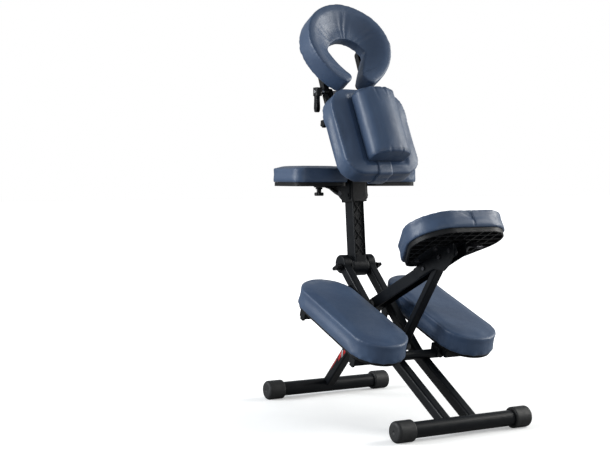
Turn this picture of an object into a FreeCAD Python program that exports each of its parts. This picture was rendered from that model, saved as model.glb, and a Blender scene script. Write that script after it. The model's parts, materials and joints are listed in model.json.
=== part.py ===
import FreeCAD, Part
import math
import os
from FreeCAD import Placement, Rotation, Vector

# Kneeling massage chair, in millimetres. +X is to the sitter's right, +Y is the way the sitter faces, +Z is up.
# The solids are built about the point on the floor midway between the two foot tubes, then moved forward by
# ORIGIN_SHIFT, so that the row's origin is on the floor under the middle of the whole chair.

# ---- driving dimensions -------------------------------------------------------------------------------------
FIT = 0.05                      # radial running clearance of every shaft in its hole

FOOT_Y = 361.0                  # foot tubes lie along X at plus and minus this
FOOT_R = 22.2                   # 44.4 mm tube
FOOT_WALL = 2.0
FOOT_HALF = 227.5               # half the length over the caps
CAP_R = 30.0
CAP_LENGTH = 57.0
CAP_END = 6.0
FOOT_Z = 29.2                   # a little under the cap radius, so each cap stands on a flat

RAIL_X = 44.0                   # centre of each rail
RAIL_WIDTH = 28.0
RAIL_DEPTH = 34.0
RAIL_LOW_ANGLE = 30.3           # slope of the lower run, degrees
RAIL_HIGH_ANGLE = 42.6          # slope of the upper run
RAIL_BEND = (-80.0, 187.0)      # where the two runs' centre lines meet (y, z)
RAIL_BEND_R = 150.0
LUG_R = 29.0                    # round end at the hub
LUG_BEYOND = 12.0
HUB = (181.0, 428.0)            # hub axis (y, z)
PIVOT = (66.0, 321.0)           # bolt shared by the rails, the front leg and the seat arm
STRUT_FOOT = (-62.0, 203.0)     # bolt that holds the strut's lower end

CROSSBAR_R = 13.5
CROSSBAR_HALF = 88.0
CROSSBAR = (-135.0, 190.4)

BOLT_R = 6.0                    # holes on the pivot and hub axes
PIN_R = 5.0                     # smaller holes

LEG_WIDTH = 31.0
LEG_DEPTH = 31.0

SEAT_ANGLE = 24.6               # the seat slopes down towards the front
ARM_HALF_WIDTH = 19.0
ARM_WALL = 3.0
ARM_TOP = 19.0                  # the seat's base rests on the arm at this height above the arm's axis
ARM_BOTTOM = -17.0
ARM_END = 459.0
SEAT_CENTRE = 402.0             # along the arm from the pivot
SEAT_LENGTH = 277.0
SEAT_REAR_WIDTH = 416.0         # between the rear corners before they are rounded; about 300 after
SEAT_FRONT_WIDTH = 144.0        # the seat tapers to a round nose
SEAT_REAR_R = 95.0
SEAT_FRONT_R = 52.0
SEAT_PAD = 50.0
SEAT_BASE = 13.0
SEAT_BASE_INSET = 8.0

STRUT_LENGTH = 337.0
STRUT_ANGLE = 37.1              # lean of the strut from upright
STRUT_WIDTH = 28.0
STRUT_DEPTH = 20.0

MAST_ANGLE = 5.0                # the mast leans forward
MAST_WIDTH = 41.0
MAST_DEPTH = 50.0
MAST_LENGTH = 350.0
BARREL_R = 28.5
BARREL_HALF = 28.0
LATTICE_PITCH = 42.0

COLLAR_WIDTH = 57.0
COLLAR_DEPTH = 66.0
COLLAR_LOW = 202.0              # along the mast from the hub
COLLAR_HIGH = 276.0

PLUNGER = (15.5, 218.0)         # height plunger, in the mast's own (y, z)
PLUNGER_TIP = 13.0
PLUNGER_R = 4.45

ARMREST_HINGE = (248.0, 655.0)
ARMREST_WIDTH = 448.0
ARMREST_REAR = 160.0
ARMREST_FRONT = 357.0
ARMREST_BOTTOM = 679.0
ARMREST_BOARD = 12.0
ARMREST_TOP = 735.0
ARMREST_NOTCH_HALF = 42.0
ARMREST_NOTCH_Y = 240.0
ARMREST_KNOB = (-48.0, 335.0)

CHEST_CENTRE = (78.0, 849.0)    # middle of the chest cushion's rear face
CHEST_LEAN = 26.9               # lean forward from upright
CHEST_LENGTH = 294.0
CHEST_LOW_WIDTH = 265.0
CHEST_HIGH_WIDTH = 271.0
CHEST_LOW_R = 63.0
CHEST_HIGH_R = 73.0
CHEST_PAD = 62.0
CHEST_BOARD = 10.0
CHEST_PIVOT = (222.0, 850.0)
POST_X = 82.0
POST_R = 9.5
SLEEVE_R = 13.0
POST_F = 92.0                   # posts lie this far ahead of the cushion's rear face
CLEVIS_X = 68.0                 # outer face of the clevis plates; the cradle's arms turn outside them
CLAMP_U = 185.0                 # cradle clamp axle, along the chest plane from the cushion's centre

BOLSTER_X = 6.0
BOLSTER_HALF = 67.0
BOLSTER_HEIGHT = 72.0
BOLSTER_LOW = -107.0
BOLSTER_HIGH = 115.0

CRADLE_U = 312.0                # centre of the horseshoe's round part, along the chest plane
CRADLE_R = 150.0
CRADLE_F = 9.0                  # its face, ahead of the chest cushion's rear face
CRADLE_PAD = 60.0

KNEE_X = 156.0
KNEE_CENTRE = (-45.0, 320.0)    # middle of each knee cushion's top
KNEE_ANGLE = 20.0
KNEE_LENGTH = 458.0
KNEE_WIDTH = 176.0
KNEE_PAD = 57.0
KNEE_BOARD = 8.0

ORIGIN_SHIFT = 10.54

# ---- small shape helpers ------------------------------------------------------------------------------------
X_AXIS = Vector(1, 0, 0)
Y_AXIS = Vector(0, 1, 0)
Z_AXIS = Vector(0, 0, 1)


def tilted(angle, at):
    """A frame turned about X by an angle in degrees, with its origin at (y, z)."""
    return Placement(Vector(0, at[0], at[1]), Rotation(X_AXIS, angle))


def put(shape, frame):
    """A copy of a shape built in a local frame, placed in the chair."""
    moved = shape.copy()
    moved.Placement = frame.multiply(moved.Placement)
    return moved


def box(x, y, z):
    """A box from three (low, high) pairs."""
    return Part.makeBox(x[1] - x[0], y[1] - y[0], z[1] - z[0], Vector(x[0], y[0], z[0]))


def rod_x(radius, low, high, at):
    """A cylinder along X between two x values, on the line at (y, z)."""
    return Part.makeCylinder(radius, high - low, Vector(low, at[0], at[1]), X_AXIS)


def ring_x(outer, inner, low, high, at):
    """A tube along X."""
    return rod_x(outer, low, high, at).cut(rod_x(inner, low - 1, high + 1, at))


def outline(corners, lift):
    """A closed wire through (a, b, corner radius) points; lift turns (a, b) into a 3-D point."""
    count = len(corners)
    ends = []
    for i in range(count):
        a, b, radius = corners[i]
        here = Vector(a, b, 0)
        back = Vector(corners[i - 1][0], corners[i - 1][1], 0) - here
        ahead = Vector(corners[(i + 1) % count][0], corners[(i + 1) % count][1], 0) - here
        back.normalize()
        ahead.normalize()
        half = back.getAngle(ahead) / 2
        if radius == 0 or half > math.pi / 2 - 0.001:
            ends.append((here, None, here))
            continue
        reach = radius / math.tan(half)
        middle = back + ahead
        middle.normalize()
        crown = here + middle * (radius / math.sin(half) - radius)
        ends.append((here + back * reach, crown, here + ahead * reach))
    edges = []
    for i in range(count):
        start, crown, stop = ends[i]
        if crown is not None:
            arc = Part.Arc(lift(start.x, start.y), lift(crown.x, crown.y), lift(stop.x, stop.y))
            edges.append(arc.toShape())
        following = ends[(i + 1) % count][0]
        if stop.distanceToPoint(following) > 0.001:
            edges.append(Part.LineSegment(lift(stop.x, stop.y), lift(following.x, following.y)).toShape())
    return Part.Wire(edges)


def slab_z(corners, low, high):
    """A plate with an outline in XY, between two heights."""
    face = Part.Face(outline(corners, lambda a, b: Vector(a, b, low)))
    return face.extrude(Vector(0, 0, high - low))


def slab_y(corners, low, high):
    """A plate with an outline in XZ, between two y values."""
    face = Part.Face(outline(corners, lambda a, b: Vector(a, low, b)))
    return face.extrude(Vector(0, high - low, 0))


def slab_x(corners, low, high):
    """A plate with an outline in YZ, between two x values."""
    face = Part.Face(outline(corners, lambda a, b: Vector(low, a, b)))
    return face.extrude(Vector(high - low, 0, 0))


def bar_z(half_x, half_y, radius, low, high):
    """A bar along Z with a rounded rectangular section."""
    corners = [(-half_x, -half_y, radius), (half_x, -half_y, radius),
               (half_x, half_y, radius), (-half_x, half_y, radius)]
    return slab_z(corners, low, high)


def mirrored(shape):
    """The same shape on the other side of the chair."""
    return shape.mirror(Vector(0, 0, 0), X_AXIS)


def both_sides(shape):
    return [shape, mirrored(shape)]


def hexagon_x(across, low, high, at):
    """A hexagonal bolt head or nut along X."""
    radius = across / math.sqrt(3)
    corners = []
    for i in range(6):
        angle = math.radians(60 * i)
        corners.append((at[0] + radius * math.cos(angle), at[1] + radius * math.sin(angle), 0))
    return slab_x(corners, low, high)


def knob_x(low, high, at, radius, lobes, bore):
    """A lobed hand knob along X, with a plain neck at its low end and a blind hole for the stud."""
    neck = rod_x(radius * 0.55, low, low + 8, at)
    body = rod_x(radius * 0.82, low + 8, high, at)
    for i in range(lobes):
        angle = 2 * math.pi * i / lobes
        spot = (at[0] + radius * 0.7 * math.cos(angle), at[1] + radius * 0.7 * math.sin(angle))
        body = body.fuse(rod_x(radius * 0.3, low + 8, high, spot))
    return neck.fuse(body).removeSplitter().cut(rod_x(bore, low - 1, high - 6, at))


# ---- frames of the tilted groups ----------------------------------------------------------------------------
LEG = tilted(45.3, PIVOT)                  # the leg runs down the local -Z axis
SEAT = tilted(-SEAT_ANGLE, PIVOT)          # the arm runs along the local -Y axis
STRUT = tilted(STRUT_ANGLE, STRUT_FOOT)    # the strut runs up the local Z axis
MAST = tilted(-MAST_ANGLE, HUB)            # the mast runs up the local Z axis
CHEST = tilted(-CHEST_LEAN, CHEST_CENTRE)  # Z runs up the cushion, Y is forward through it
KNEE = tilted(KNEE_ANGLE, KNEE_CENTRE)     # Y runs forward and up along the cushion


def local(frame, point):
    """A chair (y, z) point, in a tilted frame's own (y, z)."""
    inside = frame.inverse().multVec(Vector(0, point[0], point[1]))
    return (inside.y, inside.z)


# ---- base frame ---------------------------------------------------------------------------------------------
def foot_tube(y):
    return ring_x(FOOT_R, FOOT_R - FOOT_WALL, -FOOT_HALF + CAP_END, FOOT_HALF - CAP_END, (y, FOOT_Z))


def foot_caps(y):
    """Two rubber caps with rounded rims, a flat to stand on and a dimple in the end."""
    outer = FOOT_HALF
    inner = FOOT_HALF - CAP_LENGTH
    body = rod_x(CAP_R, inner, outer, (y, FOOT_Z))
    rim = [edge for edge in body.Edges if edge.Length > 150 and edge.BoundBox.XLength < 1]
    outside = [edge for edge in rim if edge.BoundBox.XMin > outer - 1]
    inside = [edge for edge in rim if edge.BoundBox.XMin < inner + 1]
    body = body.makeFillet(10.0, outside).makeFillet(4.0, inside)
    body = body.cut(rod_x(FOOT_R + FIT, inner - 1, outer - CAP_END, (y, FOOT_Z)))
    body = body.cut(Part.makeSphere(9.0, Vector(outer + 7.0, y, FOOT_Z)))
    body = body.cut(box((inner - 1, outer + 1), (y - 40, y + 40), (-20, 0)))
    return both_sides(body)


def rail_path(extra):
    """Centre line of a rail in the YZ plane, from the rear foot tube to just past the hub."""
    low = math.radians(RAIL_LOW_ANGLE)
    high = math.radians(RAIL_HIGH_ANGLE)
    bend = Vector(0, RAIL_BEND[0], RAIL_BEND[1])
    down = Vector(0, -math.cos(low), -math.sin(low))
    up = Vector(0, math.cos(high), math.sin(high))
    reach = RAIL_BEND_R * math.tan((high - low) / 2)
    start = bend + down * ((RAIL_BEND[0] + FOOT_Y) / math.cos(low))
    stop = Vector(0, HUB[0], HUB[1]) + up * extra
    middle = down + up
    middle.normalize()
    crown = bend + middle * (RAIL_BEND_R / math.cos((high - low) / 2) - RAIL_BEND_R)
    arc = Part.Arc(bend + down * reach, crown, bend + up * reach).toShape()
    first = Part.LineSegment(start, bend + down * reach).toShape()
    last = Part.LineSegment(bend + up * reach, stop).toShape()
    return Part.Wire([first, arc, last]), start, down


def swept_tube(path, start, down, half_x, half_n, radius):
    """A rounded rectangular section swept along a path in the YZ plane."""
    normal = Vector(0, down.z, -down.y)
    corners = [(-half_x, -half_n, radius), (half_x, -half_n, radius),
               (half_x, half_n, radius), (-half_x, half_n, radius)]
    section = outline(corners, lambda a, b: start + X_AXIS * a + normal * b)
    return path.makePipeShell([section], True, False)


def rail():
    """The right-hand rail: bent tube, coped on the rear foot tube, with a round solid lug at the hub."""
    path, start, down = rail_path(LUG_BEYOND)
    outer = swept_tube(path, start, down, RAIL_WIDTH / 2, RAIL_DEPTH / 2, 6.0)
    short, start, down = rail_path(-LUG_R)
    inner = swept_tube(short, start, down, RAIL_WIDTH / 2 - 2.5, RAIL_DEPTH / 2 - 2.5, 3.5)
    up = math.radians(RAIL_HIGH_ANGLE)
    lug_at = (HUB[0] + LUG_BEYOND * math.cos(up), HUB[1] + LUG_BEYOND * math.sin(up))
    half = RAIL_WIDTH / 2
    lug = rod_x(LUG_R, -half, half, lug_at)
    lug = lug.makeFillet(4.0, [edge for edge in lug.Edges if edge.BoundBox.XLength < 1])
    body = outer.cut(inner).fuse(lug)
    body.translate(X_AXIS * RAIL_X)
    body = body.cut(rod_x(FOOT_R + 0.02, 0, 100, (-FOOT_Y, FOOT_Z)))
    body = body.cut(rod_x(BOLT_R, 0, 100, HUB))
    body = body.cut(rod_x(BOLT_R, 0, 100, PIVOT))
    return body.cut(rod_x(PIN_R, 0, 100, STRUT_FOOT))


def knee_crossbar():
    return ring_x(CROSSBAR_R, CROSSBAR_R - 2, -CROSSBAR_HALF, CROSSBAR_HALF, CROSSBAR)


def crossbar_end_caps():
    """Press-in plugs with a shallow domed flange."""
    end = CROSSBAR_HALF
    plug = rod_x(CROSSBAR_R - 2 - FIT, end - 14, end, CROSSBAR)
    flange = rod_x(CROSSBAR_R + 1, end + 0.1, end + 4.1, CROSSBAR)
    flange = flange.makeFillet(2.0, [edge for edge in flange.Edges if edge.BoundBox.XMin > end + 4])
    neck = rod_x(CROSSBAR_R - 2 - FIT, end - 1, end + 1, CROSSBAR)
    return both_sides(plug.fuse(neck).fuse(flange).removeSplitter())


RAIL_OUT = RAIL_X + RAIL_WIDTH / 2          # outer face of a rail
RAIL_IN = RAIL_X - RAIL_WIDTH / 2           # inner face
NUT_HEIGHT = 4.6                            # low heads and nuts, which the knee cushions pass closely


def cross_bolt(radius, at):
    """A bolt through both rails, with its hexagonal head on the left."""
    shank = rod_x(radius - FIT, -RAIL_OUT - 1, RAIL_OUT + NUT_HEIGHT + 0.6, at)
    head = hexagon_x(radius * 3.2, -RAIL_OUT - NUT_HEIGHT, -RAIL_OUT - 0.1, at)
    return shank.fuse(head).removeSplitter()


def frame_lock_nuts():
    nuts = []
    for radius, at in ((BOLT_R, PIVOT), (PIN_R, STRUT_FOOT)):
        nut = hexagon_x(radius * 3.2, RAIL_OUT + 0.1, RAIL_OUT + NUT_HEIGHT, at)
        nuts.append(nut.cut(rod_x(radius, RAIL_OUT, RAIL_OUT + 20, at)))
    return nuts


def frame_spacers():
    """Round spacers between the rails and what turns between them: the seat arm, and the strut."""
    at_pivot = ring_x(11.0, BOLT_R, ARM_HALF_WIDTH + 0.1, RAIL_IN - 0.1, PIVOT)
    at_strut = ring_x(9.0, PIN_R, STRUT_WIDTH / 2 + 0.1, RAIL_IN - 0.1, STRUT_FOOT)
    return both_sides(at_pivot) + both_sides(at_strut)


def hub_axle():
    """Threaded rod through the rails and the mast's barrel; the clamp knobs sit on its ends."""
    return rod_x(BOLT_R - FIT, -RAIL_OUT - 20, RAIL_OUT + 20, HUB)


def hub_friction_discs():
    return both_sides(ring_x(24.0, BOLT_R, BARREL_HALF + 0.1, RAIL_IN - 0.1, HUB))


def knee_front_rests():
    """A drop plate from each rail with a shelf that holds up the front of the knee board."""
    plate = slab_x([(100, 350, 5), (132, 380, 5), (141, 352, 5), (129, 271, 4), (103, 262, 4)],
                   RAIL_OUT + 0.1, RAIL_OUT + 4.1)
    shelf = box((RAIL_OUT + 0.1, RAIL_OUT + 30), (-16, 16), (-4.1, -0.1))
    rest_at = KNEE.multVec(Vector(0, KNEE_FRONT_BRACKET, -KNEE_PAD - KNEE_BOARD - KNEE_BRACKET_DEPTH))
    shelf = put(shelf, tilted(KNEE_ANGLE, (rest_at.y, rest_at.z)))
    return both_sides(plate.fuse(shelf).removeSplitter())


# ---- front leg ----------------------------------------------------------------------------------------------
LEG_LENGTH = math.hypot(FOOT_Y - PIVOT[0], PIVOT[1] - FOOT_Z)


def front_leg():
    outer = bar_z(LEG_WIDTH / 2, LEG_DEPTH / 2, 5.0, -LEG_LENGTH, 0)
    inner = bar_z(LEG_WIDTH / 2 - 2, LEG_DEPTH / 2 - 2, 3.0, -LEG_LENGTH - 1, -LEG_DEPTH)
    end = rod_x(LEG_DEPTH / 2, -LEG_WIDTH / 2, LEG_WIDTH / 2, (0, 0))
    body = put(outer.fuse(end).removeSplitter().cut(inner), LEG)
    body = body.cut(rod_x(FOOT_R + 0.02, -50, 50, (FOOT_Y, FOOT_Z)))
    return body.cut(rod_x(BOLT_R, -50, 50, PIVOT))


# ---- seat ---------------------------------------------------------------------------------------------------
def seat_arm():
    """An inverted channel from the pivot to the rear of the seat; the strut's top runs inside it."""
    web = ARM_HALF_WIDTH - ARM_WALL
    outer = slab_x([(19, ARM_BOTTOM, 17), (19, ARM_TOP, 17), (-ARM_END, ARM_TOP, 6), (-ARM_END, ARM_BOTTOM, 8)],
                   -ARM_HALF_WIDTH, ARM_HALF_WIDTH)
    long_edges = [edge for edge in outer.Edges if edge.Length > 300 and edge.BoundBox.ZMin > ARM_TOP - 1]
    outer = outer.makeFillet(3.0, long_edges)
    hollow = box((-web, web), (-ARM_END - 1, 60), (ARM_BOTTOM - 1, ARM_TOP - ARM_WALL))
    front = box((-web, web), (-4, 60), (ARM_BOTTOM - 1, ARM_TOP + 1))
    body = outer.cut(hollow).cut(front)
    for bolt in SIDE_BOLTS:
        body = body.cut(rod_x(3.0 + FIT, -50, 50, bolt))
    return put(body.cut(rod_x(BOLT_R, -50, 50, (0, 0))), SEAT)


SIDE_BOLTS = ((-300.0, 2.0), (-384.0, 4.0), (-434.0, 4.0))


def seat_side_plates():
    """Cheek plates on the arm's rear end: a deep one with a curved lower edge on the left, a slim one right."""
    top = ARM_TOP - 0.2
    near = ARM_HALF_WIDTH + 0.1
    far = ARM_HALF_WIDTH + 3.6
    deep = slab_x([(-250, top, 4), (-ARM_END, top, 3), (-452, -9, 20), (-420, -31, 30), (-386, -39, 12),
                   (-345, -15, 20), (-262, -13, 8)], -far, -near)
    slim = slab_x([(-250, top, 4), (-ARM_END, top, 3), (-452, -6, 12), (-400, -13, 20), (-262, -13, 8)], near, far)
    plates = []
    for plate in (deep, slim):
        for bolt in SIDE_BOLTS:
            plate = plate.cut(rod_x(3.0 + FIT, -50, 50, bolt))
        plates.append(put(plate, SEAT))
    return plates


def side_plate_bolts():
    """Domed screws through cheek plates and arm walls; the right rear one is the lever's pivot."""
    screws = []
    edge = ARM_HALF_WIDTH + 3.6
    for bolt in SIDE_BOLTS:
        reach = 6.2 if bolt == SIDE_BOLTS[-1] else 0.1
        screw = rod_x(3.0, ARM_HALF_WIDTH - ARM_WALL + 0.5, edge + reach + 1, bolt)
        head = rod_x(6.0, edge + reach, edge + reach + 3.5, bolt)
        head = head.makeFillet(2.0, [e for e in head.Edges if e.BoundBox.XMin > edge + reach + 3])
        screws.append(put(screw.fuse(head).removeSplitter(), SEAT))
        left = rod_x(3.0, ARM_HALF_WIDTH - ARM_WALL + 0.5, edge + 1, bolt)
        left_head = rod_x(6.0, edge + 0.1, edge + 3.6, bolt)
        screws.append(put(mirrored(left.fuse(left_head).removeSplitter()), SEAT))
    return screws


MOUNT_BOLTS = [(x, y) for x in (-48.0, 48.0) for y in (-316.0, -408.0)]


def seat_mount_plate():
    """Steel plate let into the underside of the seat's base, welded on top of the arm."""
    plate = slab_z([(-66, -424, 12), (66, -424, 12), (62, -296, 34), (-62, -296, 34)], ARM_TOP + 0.05, ARM_TOP + 3)
    for x, y in MOUNT_BOLTS:
        plate = plate.cut(Part.makeCylinder(3.2, 40, Vector(x, y, 0), Z_AXIS))
    return put(plate, SEAT)


def seat_outline(inset):
    """Tapered seat outline in the arm's frame, wide at the rear, with round corners."""
    rear = -SEAT_CENTRE - SEAT_LENGTH / 2 + inset
    front = -SEAT_CENTRE + SEAT_LENGTH / 2 - inset
    wide = SEAT_REAR_WIDTH / 2 - inset
    narrow = SEAT_FRONT_WIDTH / 2 - inset
    return [(-wide, rear, SEAT_REAR_R - inset), (wide, rear, SEAT_REAR_R - inset),
            (narrow, front, SEAT_FRONT_R - inset), (-narrow, front, SEAT_FRONT_R - inset)]


def seat_base():
    """Moulded base: rim, skin and a grid of ribs on its underside, with a recess for the mount plate."""
    inset = SEAT_BASE_INSET
    base = slab_z(seat_outline(inset), ARM_TOP + 0.05, ARM_TOP + SEAT_BASE)
    pocket = slab_z(seat_outline(inset + 5), ARM_TOP - 1, ARM_TOP + SEAT_BASE - 4)
    rear = -SEAT_CENTRE - SEAT_LENGTH / 2
    ribs = []
    for i in range(9):
        y = rear + 36 + i * 31
        ribs.append(box((-160, 160), (y, y + 3), (ARM_TOP + 0.05, ARM_TOP + SEAT_BASE - 3)))
    for i in range(7):
        x = -96 + i * 32
        ribs.append(box((x - 1.5, x + 1.5), (rear, rear + SEAT_LENGTH), (ARM_TOP + 0.05, ARM_TOP + SEAT_BASE - 3)))
    boss = slab_z([(-73, -431, 14), (73, -431, 14), (69, -287, 40), (-69, -287, 40)],
                  ARM_TOP + 0.05, ARM_TOP + SEAT_BASE - 3)
    core = ribs[0].multiFuse(ribs[1:] + [boss]).common(pocket)
    recess = slab_z([(-67, -425, 13), (67, -425, 13), (63, -295, 35), (-63, -295, 35)], ARM_TOP - 1, ARM_TOP + 3.1)
    body = base.cut(pocket).fuse(core).cut(recess)
    for x, y in MOUNT_BOLTS:
        body = body.cut(Part.makeCylinder(3.1, ARM_TOP + SEAT_BASE - 2, Vector(x, y, 0), Z_AXIS))
    return put(body.removeSplitter(), SEAT)


def seat_cushion():
    low = ARM_TOP + SEAT_BASE + 0.1
    return put(slab_z(seat_outline(0), low, low + SEAT_PAD), SEAT)


def seat_bolts():
    bolts = []
    for x, y in MOUNT_BOLTS:
        head = Part.makeCylinder(7.0, 4.0, Vector(x, y, ARM_TOP - 4), Z_AXIS)
        shank = Part.makeCylinder(3.05, 12.0, Vector(x, y, ARM_TOP - 2), Z_AXIS)
        bolts.append(put(head.fuse(shank).removeSplitter(), SEAT))
    return bolts


def seat_lever():
    """Flat steel release lever on the right cheek, bent down at its grip."""
    low = ARM_HALF_WIDTH + 3.7
    bar = slab_x([(-420, -3, 6), (-420, 12, 6), (-464, 14, 4), (-489, 5, 3), (-500, -12, 3), (-493, -17, 3),
                  (-480, -4, 3), (-462, 3, 4), (-446, -5, 6)], low + 0.1, low + 5.9)
    grip = slab_x([(-480, 8, 2), (-489, 5, 3), (-500, -12, 3), (-493, -17, 3), (-480, -4, 2)],
                  low + 0.1, low + 20)
    body = bar.fuse(grip).removeSplitter()
    return put(body.cut(rod_x(3.0 + FIT, 0, 60, SIDE_BOLTS[-1])), SEAT)


def seat_strut():
    outer = bar_z(STRUT_WIDTH / 2, STRUT_DEPTH / 2, 4.0, 0, STRUT_LENGTH + 4)
    foot = rod_x(12.0, -STRUT_WIDTH / 2, STRUT_WIDTH / 2, (0, 0))
    inner = bar_z(STRUT_WIDTH / 2 - 2.5, STRUT_DEPTH / 2 - 2.5, 1.5, 20, STRUT_LENGTH + 9)
    body = outer.cut(inner).fuse(foot).removeSplitter()
    body = body.cut(rod_x(PIN_R, -50, 50, (0, 0))).cut(rod_x(4.0 + FIT, -50, 50, (0, STRUT_LENGTH - 6)))
    return put(body, STRUT)


def strut_roller():
    """Cross pin at the top of the strut, running between the arm's walls."""
    axis = (0, STRUT_LENGTH - 6)
    near = STRUT_WIDTH / 2 + 0.1
    pin = rod_x(4.0, -15.4, 15.4, axis)
    ends = [rod_x(6.0, -15.4, -near, axis), rod_x(6.0, near, 15.4, axis)]
    return put(pin.multiFuse(ends).removeSplitter(), STRUT)


# ---- mast ---------------------------------------------------------------------------------------------------
def mast():
    """Channel-shaped post, open recess in its rear face, with a cross barrel at the hub."""
    half_x = MAST_WIDTH / 2
    half_y = MAST_DEPTH / 2
    post = bar_z(half_x, half_y, 4.0, 0, MAST_LENGTH)
    hollow = bar_z(half_x - 4, half_y - 14, 2.0, BARREL_R + 6, MAST_LENGTH + 1)
    recess = box((-half_x + 3.5, half_x - 3.5), (-half_y - 1, -half_y + 8), (BARREL_R + 6, MAST_LENGTH - 12))
    barrel = rod_x(BARREL_R, -BARREL_HALF, BARREL_HALF, (0, 0))
    barrel = barrel.makeFillet(3.0, [edge for edge in barrel.Edges if edge.BoundBox.XLength < 1])
    body = post.cut(hollow).cut(recess).fuse(barrel).removeSplitter()
    body = body.cut(rod_x(9.0 + FIT, -50, 50, (0, 0)))
    for i in range(7):
        body = body.cut(rod_x(PLUNGER_R + 0.25, PLUNGER_TIP - 2, half_x + 1, (PLUNGER[0], PLUNGER[1] + (i - 3) * 20)))
    return put(body, MAST)


def mast_lattice():
    """Crossed ribs on a thin back, let into the mast's rear recess."""
    half_x = MAST_WIDTH / 2 - 3.6
    low = BARREL_R + 6.2
    high = MAST_LENGTH - 12.2
    floor = -MAST_DEPTH / 2 + 8 - 0.1
    sheet = box((-half_x, half_x), (floor - 2, floor), (low, high))
    ribs = []
    count = int((high - low) // LATTICE_PITCH) + 1
    lean = math.degrees(math.atan2(LATTICE_PITCH, 2 * half_x))
    length = 2 * math.hypot(half_x, LATTICE_PITCH)
    for i in range(count):
        middle = Vector(0, floor - 2, low + (i + 0.5) * LATTICE_PITCH)
        for turn in (lean, -lean):
            rib = box((-length / 2, length / 2), (-2.8, 0.2), (-1.1, 1.1))
            rib.Placement = Placement(middle, Rotation(Y_AXIS, turn))
            ribs.append(rib)
    room = box((-half_x, half_x), (floor - 5, floor + 1), (low, high))
    return put(sheet.fuse(ribs[0].multiFuse(ribs[1:]).common(room)).removeSplitter(), MAST)


def mast_bushes():
    return [put(bush, MAST) for bush in both_sides(ring_x(9.0, BOLT_R, 6.0, BARREL_HALF, (0, 0)))]


def hub_knob(side):
    """Wing knob on the hub axle, its two wings hanging a little."""
    low = RAIL_OUT + 0.6
    core = rod_x(11.0, low, low + 16, HUB)
    core = core.makeFillet(3.0, [edge for edge in core.Edges if edge.BoundBox.XMin > low + 15])
    wing = slab_x([(-17, -5, 4), (17, -5, 4), (19, 5, 4), (6, 6, 3), (-6, 6, 3), (-19, 5, 4)], low + 9, low + 22)
    wing.Placement = Placement(Vector(0, HUB[0], HUB[1]), Rotation(X_AXIS, 155))
    knob = core.fuse(wing).removeSplitter().cut(rod_x(BOLT_R, 0, RAIL_OUT + 20.5, HUB))
    return knob if side > 0 else mirrored(knob)


# ---- carriage on the mast -----------------------------------------------------------------------------------
def collar():
    """Sleeve on the mast, with a forked ear in front for the armrest hinge and a plunger boss."""
    half_x = COLLAR_WIDTH / 2
    half_y = COLLAR_DEPTH / 2
    sleeve = bar_z(half_x, half_y, 6.0, COLLAR_LOW, COLLAR_HIGH)
    hinge = local(MAST, ARMREST_HINGE)
    ear = slab_x([(half_y - 4, COLLAR_LOW + 4, 2), (half_y + 2, COLLAR_LOW + 2, 4), (hinge[0] + 13, hinge[1] - 8, 10),
                  (hinge[0] + 13, hinge[1] + 12, 10), (half_y - 4, hinge[1] + 22, 4)], 14.5, 20.0)
    body = sleeve.multiFuse(both_sides(ear)).removeSplitter()
    bore = bar_z(MAST_WIDTH / 2 + 2.6, MAST_DEPTH / 2 + 2.6, 5.0, COLLAR_LOW - 1, COLLAR_HIGH + 1)
    body = body.cut(bore).cut(rod_x(PIN_R, -50, 50, hinge))
    body = body.fuse(rod_x(9.5, half_x - 2, half_x + 14, PLUNGER)).removeSplitter()
    body = body.cut(rod_x(7.0, half_x - 2, half_x + 11, PLUNGER)).cut(rod_x(PLUNGER_R + FIT, 0, 80, PLUNGER))
    for pin in SUPPORT_PINS:
        body = body.cut(rod_x(3.0 + FIT, -50, 50, pin))
    return put(body, MAST)


SUPPORT_PINS = ((-18.0, 222.0), (-18.0, 262.0))


def collar_glides():
    """Two thin liners between the collar and the mast, one at each end."""
    glides = []
    for low in (COLLAR_LOW + 1, COLLAR_HIGH - 19):
        outer = bar_z(MAST_WIDTH / 2 + 2.5, MAST_DEPTH / 2 + 2.5, 4.9, low, low + 18)
        inner = bar_z(MAST_WIDTH / 2 + 0.3, MAST_DEPTH / 2 + 0.3, 4.2, low - 1, low + 19)
        glide = outer.cut(inner).cut(rod_x(PLUNGER_R + 0.6, 0, 60, PLUNGER))
        glides.append(put(glide, MAST))
    return glides


def chest_support_arms():
    """Two flat arms from the sides of the collar up to the chest pivot."""
    top = local(MAST, CHEST_PIVOT)
    low_x = COLLAR_WIDTH / 2 + 0.1
    arm = slab_x([(-27, COLLAR_LOW + 8, 6), (0, COLLAR_LOW + 8, 6), (2, COLLAR_HIGH + 8, 20),
                  (top[0] + 14, top[1] - 30, 20), (top[0] + 14, top[1] + 14, 13), (top[0] - 14, top[1] + 14, 13),
                  (top[0] - 14, top[1] - 30, 20), (-27, COLLAR_HIGH + 2, 20)], low_x, low_x + 5)
    arm = arm.cut(rod_x(BOLT_R, 0, 60, top))
    for pin in SUPPORT_PINS:
        screw = rod_x(3.0, COLLAR_WIDTH / 2 - 4.5, low_x + 5.5, pin)
        arm = arm.fuse(screw).fuse(rod_x(6.0, low_x + 4.9, low_x + 8.4, pin))
    return [put(side, MAST) for side in both_sides(arm.removeSplitter())]


def height_plunger():
    """Spring pin in the collar's right side, with a mushroom pull; its tip sits in a hole of the mast."""
    end = COLLAR_WIDTH / 2 + 14.5
    pin = rod_x(PLUNGER_R, PLUNGER_TIP, end + 1, PLUNGER)
    flange = rod_x(6.5, COLLAR_WIDTH / 2 - 1.9, COLLAR_WIDTH / 2 + 0.1, PLUNGER)
    pull = rod_x(9.5, end, end + 7, PLUNGER)
    pull = pull.makeFillet(2.5, [edge for edge in pull.Edges if edge.BoundBox.XLength < 1])
    return put(pin.multiFuse([flange, pull]).removeSplitter(), MAST)


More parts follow.
